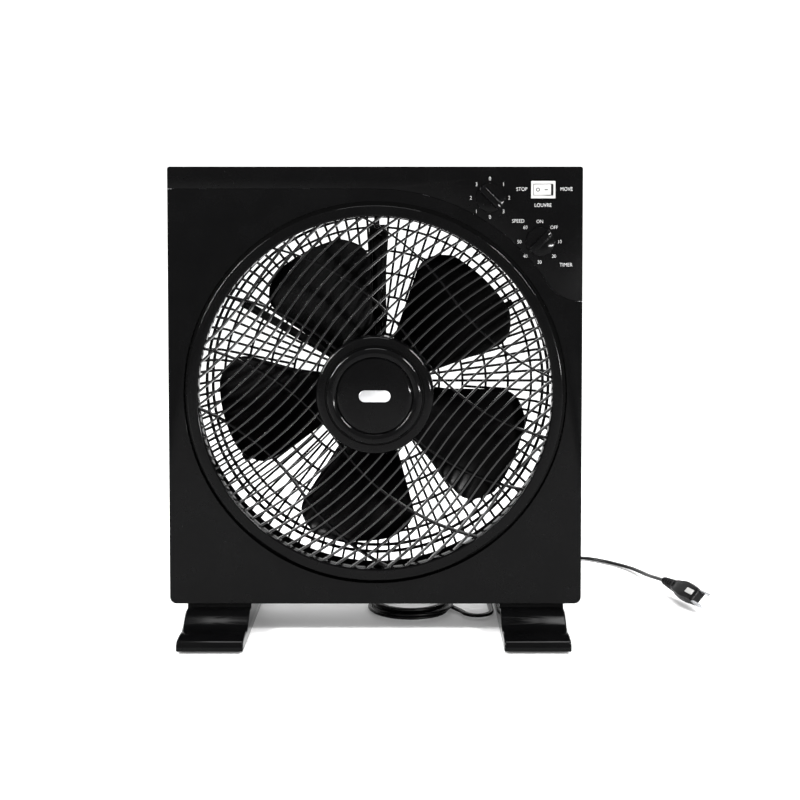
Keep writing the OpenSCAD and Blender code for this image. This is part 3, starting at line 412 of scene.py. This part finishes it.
def sweep_flat(bm, path, section):
    """Carries a section along a path, kept level with the floor."""
    rings = []
    for i, point in enumerate(path):
        ahead = (path[min(i + 1, len(path) - 1)] - path[max(i - 1, 0)]).normalized()
        side = ahead.cross(Vector((0, 0, 1))).normalized()
        up = side.cross(ahead)
        ring = [bm.verts.new(point + side * u + up * v) for u, v in section]
        rings.append([bm.edges.new((ring[j], ring[(j + 1) % len(ring)])) for j in range(len(ring))])
    for first, second in zip(rings, rings[1:]):
        bmesh.ops.bridge_loops(bm, edges=first + second)
    for end in (rings[0], rings[-1]):
        bmesh.ops.contextual_create(bm, geom=end)


def make_lead():
    coil = [Vector(p) for p in coil_route()]
    path = smoothed(entry_route + [tuple(coil[0])], 3)[:-1] + coil[:-1]
    path += smoothed([tuple(coil[-1])] + run_route, 3)
    bm = bmesh.new()
    sweep_flat(bm, path, twin_section())
    lead = put(bm, "mains_lead", cord_pvc, "root", ("cord_entry", "cord_coil", "cord_run"),
               smooth=60)
    length = sum((b - a).length for a, b in zip(path, path[1:]))
    return lead, [tuple(p * MM) for p in path], length * MM


lead, lead_path, lead_length = make_lead()


# ---------- plug and strain relief ----------

relief_l = 24
plug_l = 38
plug_turn = -71
plug_roll = 45


def ribbed_profile(r0, r1, y0, y1, ribs):
    """Tapered boot with collars along it, as (radius, y) points; r0 is at y0."""
    points = []
    step = (y1 - y0) / ribs
    for i in range(ribs):
        r = r0 + (r1 - r0) * i / ribs
        y = y0 + i * step
        points += [(r, y), (r, y + 0.55 * step), (r - 0.75, y + 0.62 * step), (r - 0.75, y + 0.93 * step)]
    return points + [(r1, y1)]


def make_plug():
    start = Vector(run_route[-1])
    place = (Matrix.Translation(start) @ Matrix.Rotation(radians(plug_turn), 4, "Z")
             @ Matrix.Rotation(radians(plug_roll), 4, "X"))
    nose = relief_l + plug_l
    bm = bmesh.new()
    bmesh.ops.create_cube(bm, size=1)
    bmesh.ops.subdivide_edges(bm, edges=bm.edges[:], cuts=3, use_grid_fill=True)
    for v in bm.verts:
        t = v.co.x + 0.5
        width = 5.2 + 3.6 * ease(t / 0.3) - 1.6 * ease((t - 0.8) / 0.2)
        thick = 4.9 + 1.5 * ease(t / 0.3) - 1.2 * ease((t - 0.8) / 0.2)
        v.co = Vector((relief_l - 1 + t * (plug_l + 1), 2 * v.co.y * width, 2 * v.co.z * thick))
    round_edges(bm, [e for e in bm.edges if e.calc_face_angle(0) > 0.9], 3.2, 4)
    bmesh.ops.smooth_vert(bm, verts=bm.verts, factor=0.35, use_axis_x=True, use_axis_y=True, use_axis_z=True)
    bmesh.ops.subdivide_edges(bm, edges=bm.edges[:], cuts=1, use_grid_fill=True, smooth=0.6)
    profile = [(0, relief_l + 2)] + ribbed_profile(5.9, 3.6, relief_l, 2, 5) + [(2.9, 0), (0, 0)]
    relief = bmesh.new()
    lathe(relief, profile, 32, 0, 0, closed=False)
    bmesh.ops.transform(relief, matrix=Matrix.Rotation(-pi / 2, 4, "Z"), verts=relief.verts)
    join_in(bm, relief)
    bmesh.ops.transform(bm, matrix=place, verts=bm.verts)
    body = put(bm, "plug_moulding", soft_black, "root", ("plug_body",), smooth=50)

    bm = bmesh.new()
    for side in (-1, 1):
        blade = bmesh.new()
        verts = brick(blade, (nose - 2, side * 6.35 - 0.75, -3.15), (nose + 17, side * 6.35 + 0.75, 3.15))
        tip = [e for e in blade.edges if all(v.co.x > nose + 16 for v in e.verts)]
        round_edges(blade, tip, 0.6, 2)
        join_in(bm, blade)
    bmesh.ops.transform(bm, matrix=place, verts=bm.verts)
    pins = put(bm, "plug_prongs", steel, "root", ("plug_pins",))

    bm = bmesh.new()
    verts = brick(bm, (nose - 13.5, -2.6, 4.5), (nose - 3, 2.6, 6.7))
    round_edges(bm, edges_of(verts), 0.5, 2)
    bmesh.ops.transform(bm, matrix=place, verts=bm.verts)
    plate = put(bm, "plug_plate", white_plastic, "root")
    return body, pins, plate


plug, prongs, plate = make_plug()


def make_boot():
    low, high = box_mm("strain_relief")
    x, z = (low.x + high.x) / 2, (low.z + high.z) / 2
    bm = bmesh.new()
    profile = [(0, low.y), (7, low.y), (7, low.y + 2), (5, low.y + 2), (5, back_y), (6.4, back_y),
               (7, back_y + 0.6), (7, back_y + 1.6), (6.4, back_y + 2)]
    profile += ribbed_profile(4.7, 3.3, back_y + 2.2, high.y - 1, 7) + [(3, high.y), (0, high.y)]
    lathe(bm, profile, 40, x, z, closed=False)
    return put(bm, "cord_boot", rubber, "root", ("strain_relief",), smooth=50)


boot = make_boot()


# ---------- housing ----------

def side_outline():
    """Outline of the body from the seam's left end, down and round to its right end."""
    w, low, r = half_w, base_z, lower_corner_r
    return arc(r - w, low + r, r, 180, 270, 8) + arc(w - r, low + r, r, 270, 360, 8)


def seam_line(grow):
    """Panel seam from the left side to the right side, moved up by grow."""
    bx = (seam_r + seam_blend_r) * cos(radians(seam_end_a))
    bz = axis_z + (seam_r + seam_blend_r) * sin(radians(seam_end_a))
    return ([(-half_w, axis_z + seam_r + grow)] + arc(0, axis_z, seam_r + grow, 90, seam_end_a, 40)
            + arc(bx, bz, seam_blend_r - grow, 180 + seam_end_a, 270, 14)[1:])


def add_sheet(bm, outer, wall_count, holes, y, depth, hole_depths):
    """A face with holes; the first wall_count edges of the outline and every hole are drawn back."""
    outer_edges = loop_edges(bm, outer, y)
    hole_edges = [loop_edges(bm, hole, y) for hole in holes]
    fill(bm, outer_edges + [e for edges in hole_edges for e in edges])
    pull(bm, outer_edges[:wall_count], depth)
    for edges, far in zip(hole_edges, hole_depths):
        if far:
            pull(bm, edges, far)


def put_shell(bm, name, node):
    return put(bm, name, gloss_black, "root", (node,), bevel=0.7, solid=wall)


def upper_corners():
    """The two upper corners of the body, from right to left."""
    r = upper_corner_r
    return arc(half_w - r, top_z - r, r, 0, 90, 5) + arc(r - half_w, top_z - r, r, 90, 180, 5)


def make_front_shell():
    bm = bmesh.new()
    seam = seam_line(-seam_gap)
    left, right = seam[0], seam[-1]
    wall_line = [left] + side_outline() + [right]
    outer = wall_line + seam[-2:0:-1]
    add_sheet(bm, outer, len(wall_line) - 1, [arc(0, axis_z, hole_r, 0, 360, 128)[:-1]], front_y,
              split_y - front_y, [3.4])
    return put_shell(bm, "front_shell", "front_housing")


def make_control_shell():
    bm = bmesh.new()
    seam = seam_line(seam_gap)
    wall_line = [seam[-1]] + upper_corners() + [seam[0]]
    outer = wall_line + seam[1:-1]
    add_sheet(bm, outer, len(wall_line) - 1, [], front_y, split_y - front_y, [])
    return put_shell(bm, "control_shell", "control_panel")


def make_rear_shell():
    bm = bmesh.new()
    outline = side_outline() + upper_corners()
    screws_low, screws_high = box_mm("housing_screws")
    head_r = 3.1
    wells = [(x, z) for x in (screws_low.x + head_r, screws_high.x - head_r)
             for z in (screws_low.z + head_r, screws_high.z - head_r)]
    holes = [arc(0, axis_z, mouth_r, 0, 360, 128)[:-1]] + [arc(x, z, 3.5, 0, 360, 20)[:-1] for x, z in wells]
    add_sheet(bm, outline, len(outline), holes, back_y, split_y - back_y, [-4] + [-22] * 4)
    return put_shell(bm, "rear_shell", "rear_housing")


make_front_shell()
make_control_shell()
make_rear_shell()


# ---------- louvre ----------

def s_point(s, mid, r):
    a = radians(mid) - abs(s) / r
    k = -1 if s < 0 else 1
    return k * r * (sin(radians(mid)) - sin(a)), k * r * (cos(a) - cos(radians(mid)))


def offset_along(angle, distance):
    return distance * cos(radians(angle)), distance * sin(radians(angle))


def inside_runs(curve, low_r, high_r, reach, steps):
    """Stretches of a curve that lie between two radii, cut exactly at the circles."""
    def radius(s):
        return hypot(*curve(s))

    def is_in(s):
        return low_r < radius(s) < high_r

    def edge(a, b):
        for _ in range(30):
            m = (a + b) / 2
            a, b = (m, b) if is_in(m) == is_in(a) else (a, m)
        return (a + b) / 2

    runs, current = [], None
    stations = [reach * (2 * i / steps - 1) for i in range(steps + 1)]
    for a, b in zip(stations, stations[1:]):
        if is_in(a) and current is None:
            current = [a]
        if is_in(a) != is_in(b):
            cut = edge(a, b)
            if current is None:
                current = [cut]
            else:
                current.append(cut)
                runs.append(current)
                current = None
        if current is not None and is_in(b):
            current.append(b)
    return runs


def add_slat(bm, curve, run, y_front, y_back, lean):
    """A thin upright strip along a run of a curve, its front edge leaning to one side."""
    rows = []
    for s in run:
        x, z = curve(s)
        ax, az = curve(s + 0.01)
        bx, bz = curve(s - 0.01)
        length = hypot(ax - bx, az - bz)
        nx, nz = -(az - bz) / length, (ax - bx) / length
        ring = []
        for y, off in ((y_front, lean), (y_back, 0)):
            for side in (-1, 1):
                shift = off + side * slat_t / 2
                ring.append(bm.verts.new((x + nx * shift, y, axis_z + z + nz * shift)))
        a, b, c, d = ring
        rows.append([bm.edges.new(pair) for pair in ((a, b), (b, d), (d, c), (c, a))])
    for first, second in zip(rows, rows[1:]):
        bmesh.ops.bridge_loops(bm, edges=first + second)
    for end in (rows[0], rows[-1]):
        bmesh.ops.contextual_create(bm, geom=end)


def make_louvre():
    bm = bmesh.new()
    slat_back = track_y + 1
    slat_front = slat_back - slat_d
    for k in range(-15, 16):
        dx, dz = offset_along(slat_angle + 81, k * slat_pitch)

        def curve(s, dx=dx, dz=dz):
            x, z = s_point(s, slat_angle, slat_bend_r)
            return x + dx, z + dz
        for run in inside_runs(curve, hub_r - 0.6, ring_in_r + 0.8, ring_r + 10, 44):
            add_slat(bm, curve, run, slat_front, slat_back, 0.5)
    for face in bm.faces:
        face.material_index = 1
    for k in range(-2, 3):
        dx, dz = offset_along(slat_angle - 109, k * cross_pitch)

        def curve(s, dx=dx, dz=dz):
            x, z = s_point(s, slat_angle, cross_bend_r)
            return x + dx, -(z + dz)
        for run in inside_runs(curve, hub_r - 0.6, ring_in_r + 0.8, ring_r + 10, 44):
            add_slat(bm, curve, run, slat_front + 0.6, slat_back, 0)
    round_edges(bm, [e for e in bm.edges if e.calc_face_angle(0) > 0.8 and
                     max(v.co.y for v in e.verts) < slat_front + 1], 0.5, 3)

    edge_r = 1.4
    edge_y = front_y - 4 + edge_r
    crown = (arc(ring_in_r + edge_r, edge_y, edge_r, 180, 270, 6)
             + arc(ring_r - edge_r, edge_y, edge_r, 270, 360, 6))
    lathe(bm, [(ring_in_r, track_y + 2), (ring_in_r, track_y)] + crown
          + [(ring_r, track_y), (track_r, track_y), (track_r, track_y + 2)], 160)
    lathe(bm, [(hub_r - 2, slat_back), (hub_r, slat_back), (hub_r, hub_face_y + 3.6),
               (hub_r - 0.5, hub_face_y + 1.8),
               (hub_r - 1.6, hub_face_y + 0.6), (hub_r - 3.2, hub_face_y), (dome_r + 1.6, hub_face_y),
               (dome_r + 1.2, hub_face_y + 0.4), (dome_r + 1.2, hub_face_y + 1), (hub_hole_r, hub_face_y + 1),
               (hub_hole_r, hub_face_y + 2), (hub_r - 2, hub_face_y + 2)], 128)
    louvre = put(bm, "louvre", gloss_black, "louvre", ("louvre_grille",), smooth=32)
    louvre.data.materials.append(slat_black)
    return louvre


def make_hub():
    rim_mid, rim_r = (dome_r + cap_r) / 2, (dome_r - cap_r) / 2
    rim = [(rim_mid + rim_r * cos(radians(a)), dome_y + 3 - 3 * sin(radians(a))) for a in range(180, -1, -12)]
    bm = bmesh.new()
    lathe(bm, [(0, cap_high.y), (cap_r + 0.05, cap_high.y)] + rim + [(dome_r, hub_face_y + 1),
          (hub_hole_r - 0.1, hub_face_y + 1), (hub_hole_r - 0.1, hub_face_y + 5),
          (hub_hole_r - 2, hub_face_y + 5), (hub_hole_r - 2, cap_high.y + 1), (0, cap_high.y + 1)],
          128, closed=False)
    put(bm, "dome", gloss_black, "louvre", ("hub_dome",), smooth=40)

    bm = bmesh.new()
    lathe(bm, [(0, cap_high.y), (0, cap_y), (cap_r - 4.5, cap_y), (cap_r - 3, cap_y + 0.12),
               (cap_r - 1.6, cap_y + 0.5), (cap_r - 0.7, cap_y + 1), (cap_r - 0.1, cap_high.y - 0.4),
               (cap_r - 0.1, cap_high.y)], 128, closed=False)
    put(bm, "cap", gloss_black, "louvre", ("hub_cap",), smooth=40)

    r = (badge_high.z - badge_low.z) / 2
    straight = badge_high.x - r
    bm = bmesh.new()
    outline = arc(straight, axis_z, r, -90, 90, 16) + arc(-straight, axis_z, r, 90, 270, 16)
    edges = loop_edges(bm, outline, badge_high.y)
    face = bmesh.ops.contextual_create(bm, geom=edges)["faces"]
    drawn = bmesh.ops.extrude_face_region(bm, geom=face)["geom"]
    bmesh.ops.translate(bm, vec=(0, badge_low.y - badge_high.y, 0),
                        verts=verts_of(drawn))
    top = [g for g in drawn if isinstance(g, bmesh.types.BMFace)]
    round_edges(bm, list({e for f in top for e in f.edges}), 0.3, 3)
    put(bm, "badge", silver_badge, "louvre", ("hub_badge",))


make_louvre()
make_hub()


# ---------- fan ----------

tip_r = 138
fan_hub_r = 36
blade_span = 50
blade_count = 5


def make_blades():
    bm = bmesh.new()
    size = 28
    bmesh.ops.create_grid(bm, x_segments=size, y_segments=size, size=1)
    r0 = fan_hub_r - 1.5
    for v in bm.verts:
        u, t = (v.co.x + 1) / 2, v.co.y
        r = r0 + (tip_r - r0) * (1 - (1 - u) ** 1.5)
        near_tip = max(0, (r - tip_r + 30) / 30)
        half = blade_span / 2 * (1 - 0.45 * near_tip ** 3)
        depth = 17 + 17 * sin(radians(min(90, (r - fan_hub_r) * 1.6))) - 6 * (r / tip_r) ** 8
        a = radians(t * half)
        v.co = Vector((r * cos(a), -3 + t * depth / 2 - 3 * (1 - t * t), axis_z + r * sin(a)))
    bmesh.ops.solidify(bm, geom=bm.faces[:] + bm.edges[:] + bm.verts[:], thickness=1.8)
    bmesh.ops.translate(bm, vec=(0, 0.9, 0), verts=bm.verts)
    round_edges(bm, [e for e in bm.edges if e.calc_face_angle(0) > 1.0], 0.5, 2)
    repeat_round(bm, blade_count, -46)
    y0, y1 = -17, 7
    lathe(bm, [(4, y0), (fan_hub_r - 4, y0), (fan_hub_r - 1.6, y0 + 0.5), (fan_hub_r - 0.4, y0 + 1.7),
               (fan_hub_r, y0 + 4), (fan_hub_r, y1), (fan_hub_r - 3, y1), (fan_hub_r - 3, y0 + 3),
               (12, y0 + 3), (12, y1), (4, y1)], 96)
    return put(bm, "blades", blade_black, "fan", ("fan_blade",), smooth=40)


make_blades()


# ---------- rear guard ----------

def side_slope():
    """Angle of the guard's side, and the radius and depth at which its middle meets the flange."""
    return atan2(guard_in_y - back_y - 2.5, mouth_r - dish_r), mouth_r - 2.2, back_y + 1.5


def side_radius(y):
    slope, foot_r, foot_y = side_slope()
    return foot_r - (y - foot_y) / tan(slope)


def add_rib(bm, r_in, width, depth):
    """One rib: out along the face, round the corner and forward down the sloping side."""
    corner = 6
    slope, foot_r, foot_y = side_slope()
    out_y = guard_in_y - depth / 2
    bend_y = out_y - corner * (1 - cos(slope))
    bend_r = side_radius(bend_y) - corner * sin(slope)
    line = [(r_in, out_y)]
    line += [(bend_r + corner * sin(a), out_y - corner + corner * cos(a))
             for a in (slope * i / 4 for i in range(5))]
    line += [(foot_r, foot_y)]
    rows = []
    for i, (r, y) in enumerate(line):
        ar, ay = line[min(i + 1, len(line) - 1)]
        br, by = line[max(i - 1, 0)]
        length = hypot(ar - br, ay - by)
        nr, ny = -(ay - by) / length, (ar - br) / length
        ring = []
        for u, v in ((-width / 2, -depth / 2), (width / 2, -depth / 2), (width / 2, depth / 2 - 0.6),
                     (width / 2 - 0.6, depth / 2), (0.6 - width / 2, depth / 2),
                     (-width / 2, depth / 2 - 0.6)):
            ring.append(bm.verts.new((u, y + ny * v, axis_z + r + nr * v)))
        rows.append([bm.edges.new((ring[j], ring[(j + 1) % 6])) for j in range(6)])
    for first, second in zip(rows, rows[1:]):
        bmesh.ops.bridge_loops(bm, edges=first + second)
    for end in (rows[0], rows[-1]):
        bmesh.ops.contextual_create(bm, geom=end)


def make_guard():
    bm = bmesh.new()
    for r_in, start in ((plate_r - 1, 0), (80, 3.75)):
        ribs = bmesh.new()
        add_rib(ribs, r_in, 2.2, 3)
        repeat_round(ribs, 48, start)
        join_in(bm, ribs)
    for r in (58, 80, 102, 123, 145):
        lathe(bm, [(r - 1.1, guard_y), (r - 1.1, guard_in_y - 0.5), (r - 0.6, guard_in_y),
                   (r + 0.6, guard_in_y), (r + 1.1, guard_in_y - 0.5), (r + 1.1, guard_y)], 96)
    for y in (back_y + 16, back_y + 24.5):
        r = side_radius(y)
        lathe(bm, [(r - 1.3, y - 1.1), (r + 1.3, y - 1.1), (r + 1.3, y + 1.1), (r - 1.3, y + 1.1)], 128)
    lathe(bm, [(mouth_r - 4.4, back_y), (flange_r - 0.8, back_y), (flange_r, back_y + 0.8),
               (flange_r, back_y + 1.9), (flange_r - 0.6, back_y + 2.5), (mouth_r - 4.4, back_y + 2.5)], 128)
    for k in range(6):
        width = 16 if k == 0 else 8
        spoke = bmesh.new()
        verts = brick(spoke, (-width / 2, guard_y + 0.1, axis_z + plate_r - 2),
                      (width / 2, guard_in_y - 0.05, axis_z + dish_r - 6))
        round_edges(spoke, edges_of(verts), 0.6, 2)
        turn_on_axis(spoke, 60 * k)
        join_in(bm, spoke)
    lathe(bm, [(0, guard_y), (plate_r, guard_y), (plate_r, guard_in_y - 0.8), (plate_r - 0.8, guard_in_y),
               (36, guard_in_y),
               (35, guard_in_y - 0.8), (0, guard_in_y - 0.8)], 96, closed=False)
    return put(bm, "guard", grille_black, "root", ("rear_grille",), smooth=35)


def make_lead_cover():
    low, high = box_mm("lead_cover")
    bm = bmesh.new()
    verts = brick(bm, low, high)
    round_edges(bm, edges_of(verts), 1.2, 3)
    return put(bm, "lead_channel", gloss_black, "root", ("lead_cover",))


make_guard()
make_lead_cover()


# ---------- feet ----------

def foot_profile(foot_l, high_z):
    """Side outline of a foot as (y, z) points from the front toe to the rear toe."""
    shoulder_z, toe_z, toe_round, show = high_z - 4, 9.8, 6, 0.8
    shoulder_end, wave_end = 37, foot_l / 2 - 28
    toe_start = foot_l / 2 - toe_round
    half = [(foot_l / 2, show)]
    half += [(toe_start + toe_round * cos(radians(a)), toe_z - toe_round + toe_round * sin(radians(a)))
             for a in range(0, 91, 15)]
    for i in range(1, 10):
        a = toe_start - i * (toe_start - wave_end) / 9
        half.append((a, toe_z + 0.8 * sin(pi * (a - wave_end) / (toe_start - wave_end))))
    for i in range(1, 17):
        a = wave_end - i * (wave_end - shoulder_end) / 16
        rise = (1 + cos(pi * (a - shoulder_end) / (wave_end - shoulder_end))) / 2
        half.append((a, toe_z + (shoulder_z - toe_z) * rise))
    half += [(back_y - 1.5, shoulder_z), (back_y - 3, high_z)]
    return [(-y, z) for y, z in half] + half[::-1]


def make_foot(node, name):
    low, high = box_mm(node)
    profile = foot_profile(high.y - low.y, high.z)
    bm = bmesh.new()
    verts = [bm.verts.new((low.x, y, z)) for y, z in profile]
    side = bm.faces.new(verts)
    drawn = bmesh.ops.extrude_face_region(bm, geom=[side])["geom"]
    bmesh.ops.translate(bm, vec=(high.x - low.x, 0, 0), verts=verts_of(drawn))
    bmesh.ops.recalc_face_normals(bm, faces=bm.faces)
    under = [f for f in bm.faces if f.normal.z < -0.9 and f.calc_center_median().z < 2]
    bmesh.ops.delete(bm, geom=under, context="FACES")
    return put(bm, name, gloss_black, "root", (node,), bevel=1.3, solid=wall, smooth=40,
               segments=4)


make_foot("left_foot", "foot_left")
make_foot("right_foot", "foot_right")


# ---------- knobs ----------

def make_knob(node, name, body, mark):
    """Skirted knob with a grip bar; mark is the pointer's angle clockwise from the top."""
    nut_low, nut_high = box_mm(node.replace("knob", "nut"))
    x, z = (nut_low.x + nut_high.x) / 2, (nut_low.z + nut_high.z) / 2
    low, high = box_mm(node)
    knob_r = 12.6
    roof = low.y + 8
    bm = bmesh.new()
    lathe(bm, [(3, roof), (knob_r - 1.2, roof), (knob_r - 0.35, roof + 0.35), (knob_r, roof + 1.2),
               (knob_r, high.y - 0.3), (knob_r - 0.3, high.y), (knob_r - 1.4, high.y),
               (knob_r - 1.4, roof + 2), (3, roof + 2)], 64, x, z)
    grip = bmesh.new()
    verts = brick(grip, (-3.5, low.y, 0.6 - knob_r), (3.5, roof + 0.2, knob_r - 0.6))
    for v in verts:
        if v.co.y < roof - 1:
            v.co.x *= 0.8
            v.co.z *= 0.97
    uprights = [e for e in grip.edges if abs(e.verts[0].co.y - e.verts[1].co.y) > 1]
    round_edges(grip, uprights, 1.6, 4)
    rims = [e for e in grip.edges if all(v.co.y < low.y + 0.01 for v in e.verts)]
    round_edges(grip, rims, 0.6, 3)
    place = Matrix.Translation((x, 0, z)) @ Matrix.Rotation(radians(mark), 4, "Y")
    bmesh.ops.transform(grip, matrix=place, verts=grip.verts)
    join_in(bm, grip)
    put(bm, name, gloss_black, body, (node,), smooth=38)
    line = bmesh.new()
    verts = brick(line, (-0.2, low.y - 0.04, 8.8), (0.2, low.y + 0.3, knob_r - 1.7))
    bmesh.ops.transform(line, matrix=place, verts=line.verts)
    put(line, name + "_line", print_white, body)
    return x, z


speed_x, speed_z = make_knob("speed_knob", "speed_dial", "speed_control", 135)
timer_x, timer_z = make_knob("timer_knob", "timer_dial", "timer_control", 45)


# ---------- rocker switch ----------

def make_rocker():
    low, high = box_mm("rocker_frame")
    x, z = (low.x + high.x) / 2, (low.z + high.z) / 2
    bezel_w, bezel_h = (high.x - low.x) / 2, (high.z - low.z) / 2
    open_w, open_h = 8.6, 5.0
    bm = bmesh.new()
    outer, inner = (loop_edges(bm, [(x - w, z - h), (x + w, z - h), (x + w, z + h), (x - w, z + h)], low.y)
                    for w, h in ((bezel_w, bezel_h), (open_w, open_h)))
    bmesh.ops.bridge_loops(bm, edges=outer + inner)
    pull(bm, outer, front_y - low.y)
    pull(bm, inner, 14)
    put(bm, "switch_bezel", white_plastic, "root", ("rocker_frame",), bevel=0.35, solid=0.9)

    pivot_y = front_y + 4
    tilt = Matrix.Translation((x, pivot_y, z)) @ Matrix.Rotation(radians(-8), 4, "Z")
    bm = bmesh.new()
    half_b, high_half = 7.4, 4.6
    dish = [(-half_b + 2 * half_b * i / 12, -6.85 + 0.8 * (1 - (i / 6 - 1) ** 2)) for i in range(1, 12)]
    profile = [(-half_b, 0), (-half_b, -6.6)] + dish + [(half_b, -6.6), (half_b, 0), (4, 4), (-4, 4)]
    verts = [bm.verts.new((px, py, -high_half)) for px, py in profile]
    face = bm.faces.new(verts)
    drawn = bmesh.ops.extrude_face_region(bm, geom=[face])["geom"]
    bmesh.ops.translate(bm, vec=(0, 0, 2 * high_half), verts=verts_of(drawn))
    round_edges(bm, [e for e in bm.edges if e.calc_face_angle(0) > 0.8], 0.3, 2)
    bmesh.ops.transform(bm, matrix=tilt, verts=bm.verts)
    put(bm, "switch_rocker", white_plastic, "rocker", ("rocker_button",), smooth=30)

    marks = bmesh.new()
    steps = 24
    outer, inner = ([marks.verts.new((x, -6.62, z)) for x, z in arc(-3.8, 0, r, 0, 360, steps)[:-1]]
                    for r in (1.75, 0.95))
    for ring in (outer, inner):
        for i in range(steps):
            marks.edges.new((ring[i], ring[(i + 1) % steps]))
    bmesh.ops.bridge_loops(marks, edges=marks.edges[:])
    for v in marks.verts:
        v.co.y = -6.85 + 0.8 * (1 - (v.co.x / half_b) ** 2) - 0.03
    drawn = bmesh.ops.extrude_face_region(marks, geom=marks.faces[:])["geom"]
    bmesh.ops.translate(marks, vec=(0, 0.15, 0), verts=verts_of(drawn))
    brick(marks, (2.0, -6.47, -0.4), (4.7, -6.2, 0.4))
    bmesh.ops.transform(marks, matrix=tilt, verts=marks.verts)
    put(marks, "rocker_marks", mark_black, "rocker")
    return x, z


rocker_x, rocker_z = make_rocker()


# ---------- printing on the panel ----------

def label(bm, words, x, z, height, width=1.0):
    """Adds flat raised lettering with its middle at x, z."""
    curve = bpy.data.curves.new("words", "FONT")
    curve.body = words
    curve.extrude = 0.01
    curve.offset = -0.011
    curve.resolution_u = 3
    holder = bpy.data.objects.new("words", curve)
    COLLECTION.objects.link(holder)
    bpy.context.view_layer.update()
    mesh = bpy.data.meshes.new_from_object(holder.evaluated_get(bpy.context.evaluated_depsgraph_get()))
    bpy.data.objects.remove(holder)
    bpy.data.curves.remove(curve)
    xs = [v.co.x for v in mesh.vertices]
    ys = [v.co.y for v in mesh.vertices]
    scale = height / (max(ys) - min(ys))
    for v in mesh.vertices:
        flat_x = (v.co.x - (min(xs) + max(xs)) / 2) * scale * width
        flat_z = (v.co.y - (min(ys) + max(ys)) / 2) * scale
        v.co = Vector((x + flat_x, front_y + (0.02 if v.co.z < 0 else -0.05), z + flat_z))
    bm.from_mesh(mesh)
    bpy.data.meshes.remove(mesh)


def make_print():
    bm = bmesh.new()
    for centre, names, radius, height in (
            ((speed_x, speed_z), ("0", "1", "2", "3", "0", "1", "2", "3"), 16.6, 3.1),
            ((timer_x, timer_z), ("ON", "OFF", "10", "20", "30", "40", "50", "60"), 17.6, 2.9)):
        for i, words in enumerate(names):
            a = radians(90 - 45 * i)
            label(bm, words, centre[0] + radius * cos(a), centre[1] + radius * sin(a), height, 0.9)
    for words, x, z in (("STOP", rocker_x - 18.4, rocker_z + 0.6), ("MOVE", rocker_x + 20.3, rocker_z + 0.6),
                        ("LOUVRE", rocker_x, rocker_z - 13.3), ("SPEED", speed_x + 24.5, speed_z - 20),
                        ("TIMER", timer_x + 22.9, timer_z - 20)):
        label(bm, words, x, z, 3.1, 0.88)
    return put(bm, "panel_print", print_white, "root")


make_print()


# ---------- floor, backdrop and light ----------

def make_backdrop():
    bm = bmesh.new()
    line = [(-2600, -1), (2200, -1)] + arc(2200, 1199, 1200, -80, 0, 8)
    line += [(3400, 5200)]
    verts = [bm.verts.new((-5200, y, z)) for y, z in line]
    edges = [bm.edges.new(pair) for pair in zip(verts, verts[1:])]
    drawn = bmesh.ops.extrude_edge_only(bm, edges=edges)["geom"]
    bmesh.ops.translate(bm, vec=(10400, 0, 0), verts=verts_of(drawn))
    bmesh.ops.scale(bm, vec=(MM, MM, MM), verts=bm.verts)
    mesh = bpy.data.meshes.new("backdrop")
    bm.to_mesh(mesh)
    bm.free()
    mesh.shade_smooth()
    material = finish_material("backdrop_paper", (0.86, 0.86, 0.86), (0.88, 0.88, 0.88), (0.85, 0.9),
                               grain=60, grain_depth=0.00001, patch=2)
    shader = material.node_tree.nodes["Principled BSDF"]
    shader.inputs["Emission Color"].default_value = (1, 1, 1, 1)
    shader.inputs["Emission Strength"].default_value = 0.12
    mesh.materials.append(material)
    backdrop = bpy.data.objects.new("backdrop", mesh)
    COLLECTION.objects.link(backdrop)


def area_light(name, place, target, width, height, power, glint=False):
    """A rectangular lamp aimed at a point; a glint lamp shows only in reflections."""
    data = bpy.data.lights.new(name, "AREA")
    data.shape = "RECTANGLE"
    data.size = width
    data.size_y = height
    data.energy = power
    light = bpy.data.objects.new(name, data)
    light.location = place
    light.visible_diffuse = not glint
    light.rotation_euler = (Vector(target) - Vector(place)).to_track_quat("-Z", "Y").to_euler()
    COLLECTION.objects.link(light)


make_backdrop()
area_light("key_left", (-1.25, -0.75, 1.35), (0, 0, 0.22), 0.16, 0.5, 34)
area_light("key_right", (1.25, -0.75, 1.3), (0, 0, 0.22), 0.16, 0.5, 30)
area_light("top", (0, 0.0, 2.0), (0, 0, 0), 0.9, 0.6, 34)
area_light("glint_left", (-1.5, -0.35, 1.0), (0, 0, 0.25), 0.08, 0.7, 110, glint=True)
area_light("glint_right", (1.4, -0.5, 1.3), (0, 0, 0.25), 0.08, 0.7, 100, glint=True)
area_light("glint_low", (0.9, -1.5, 0.15), (0, 0, 0.2), 0.5, 0.05, 30, glint=True)
world = bpy.data.worlds.new("studio")
world.use_nodes = True
world.node_tree.nodes["Background"].inputs["Color"].default_value = (1, 1, 1, 1)
world.node_tree.nodes["Background"].inputs["Strength"].default_value = 1.0
bpy.context.scene.world = world
bpy.context.scene.view_settings.view_transform = "Standard"
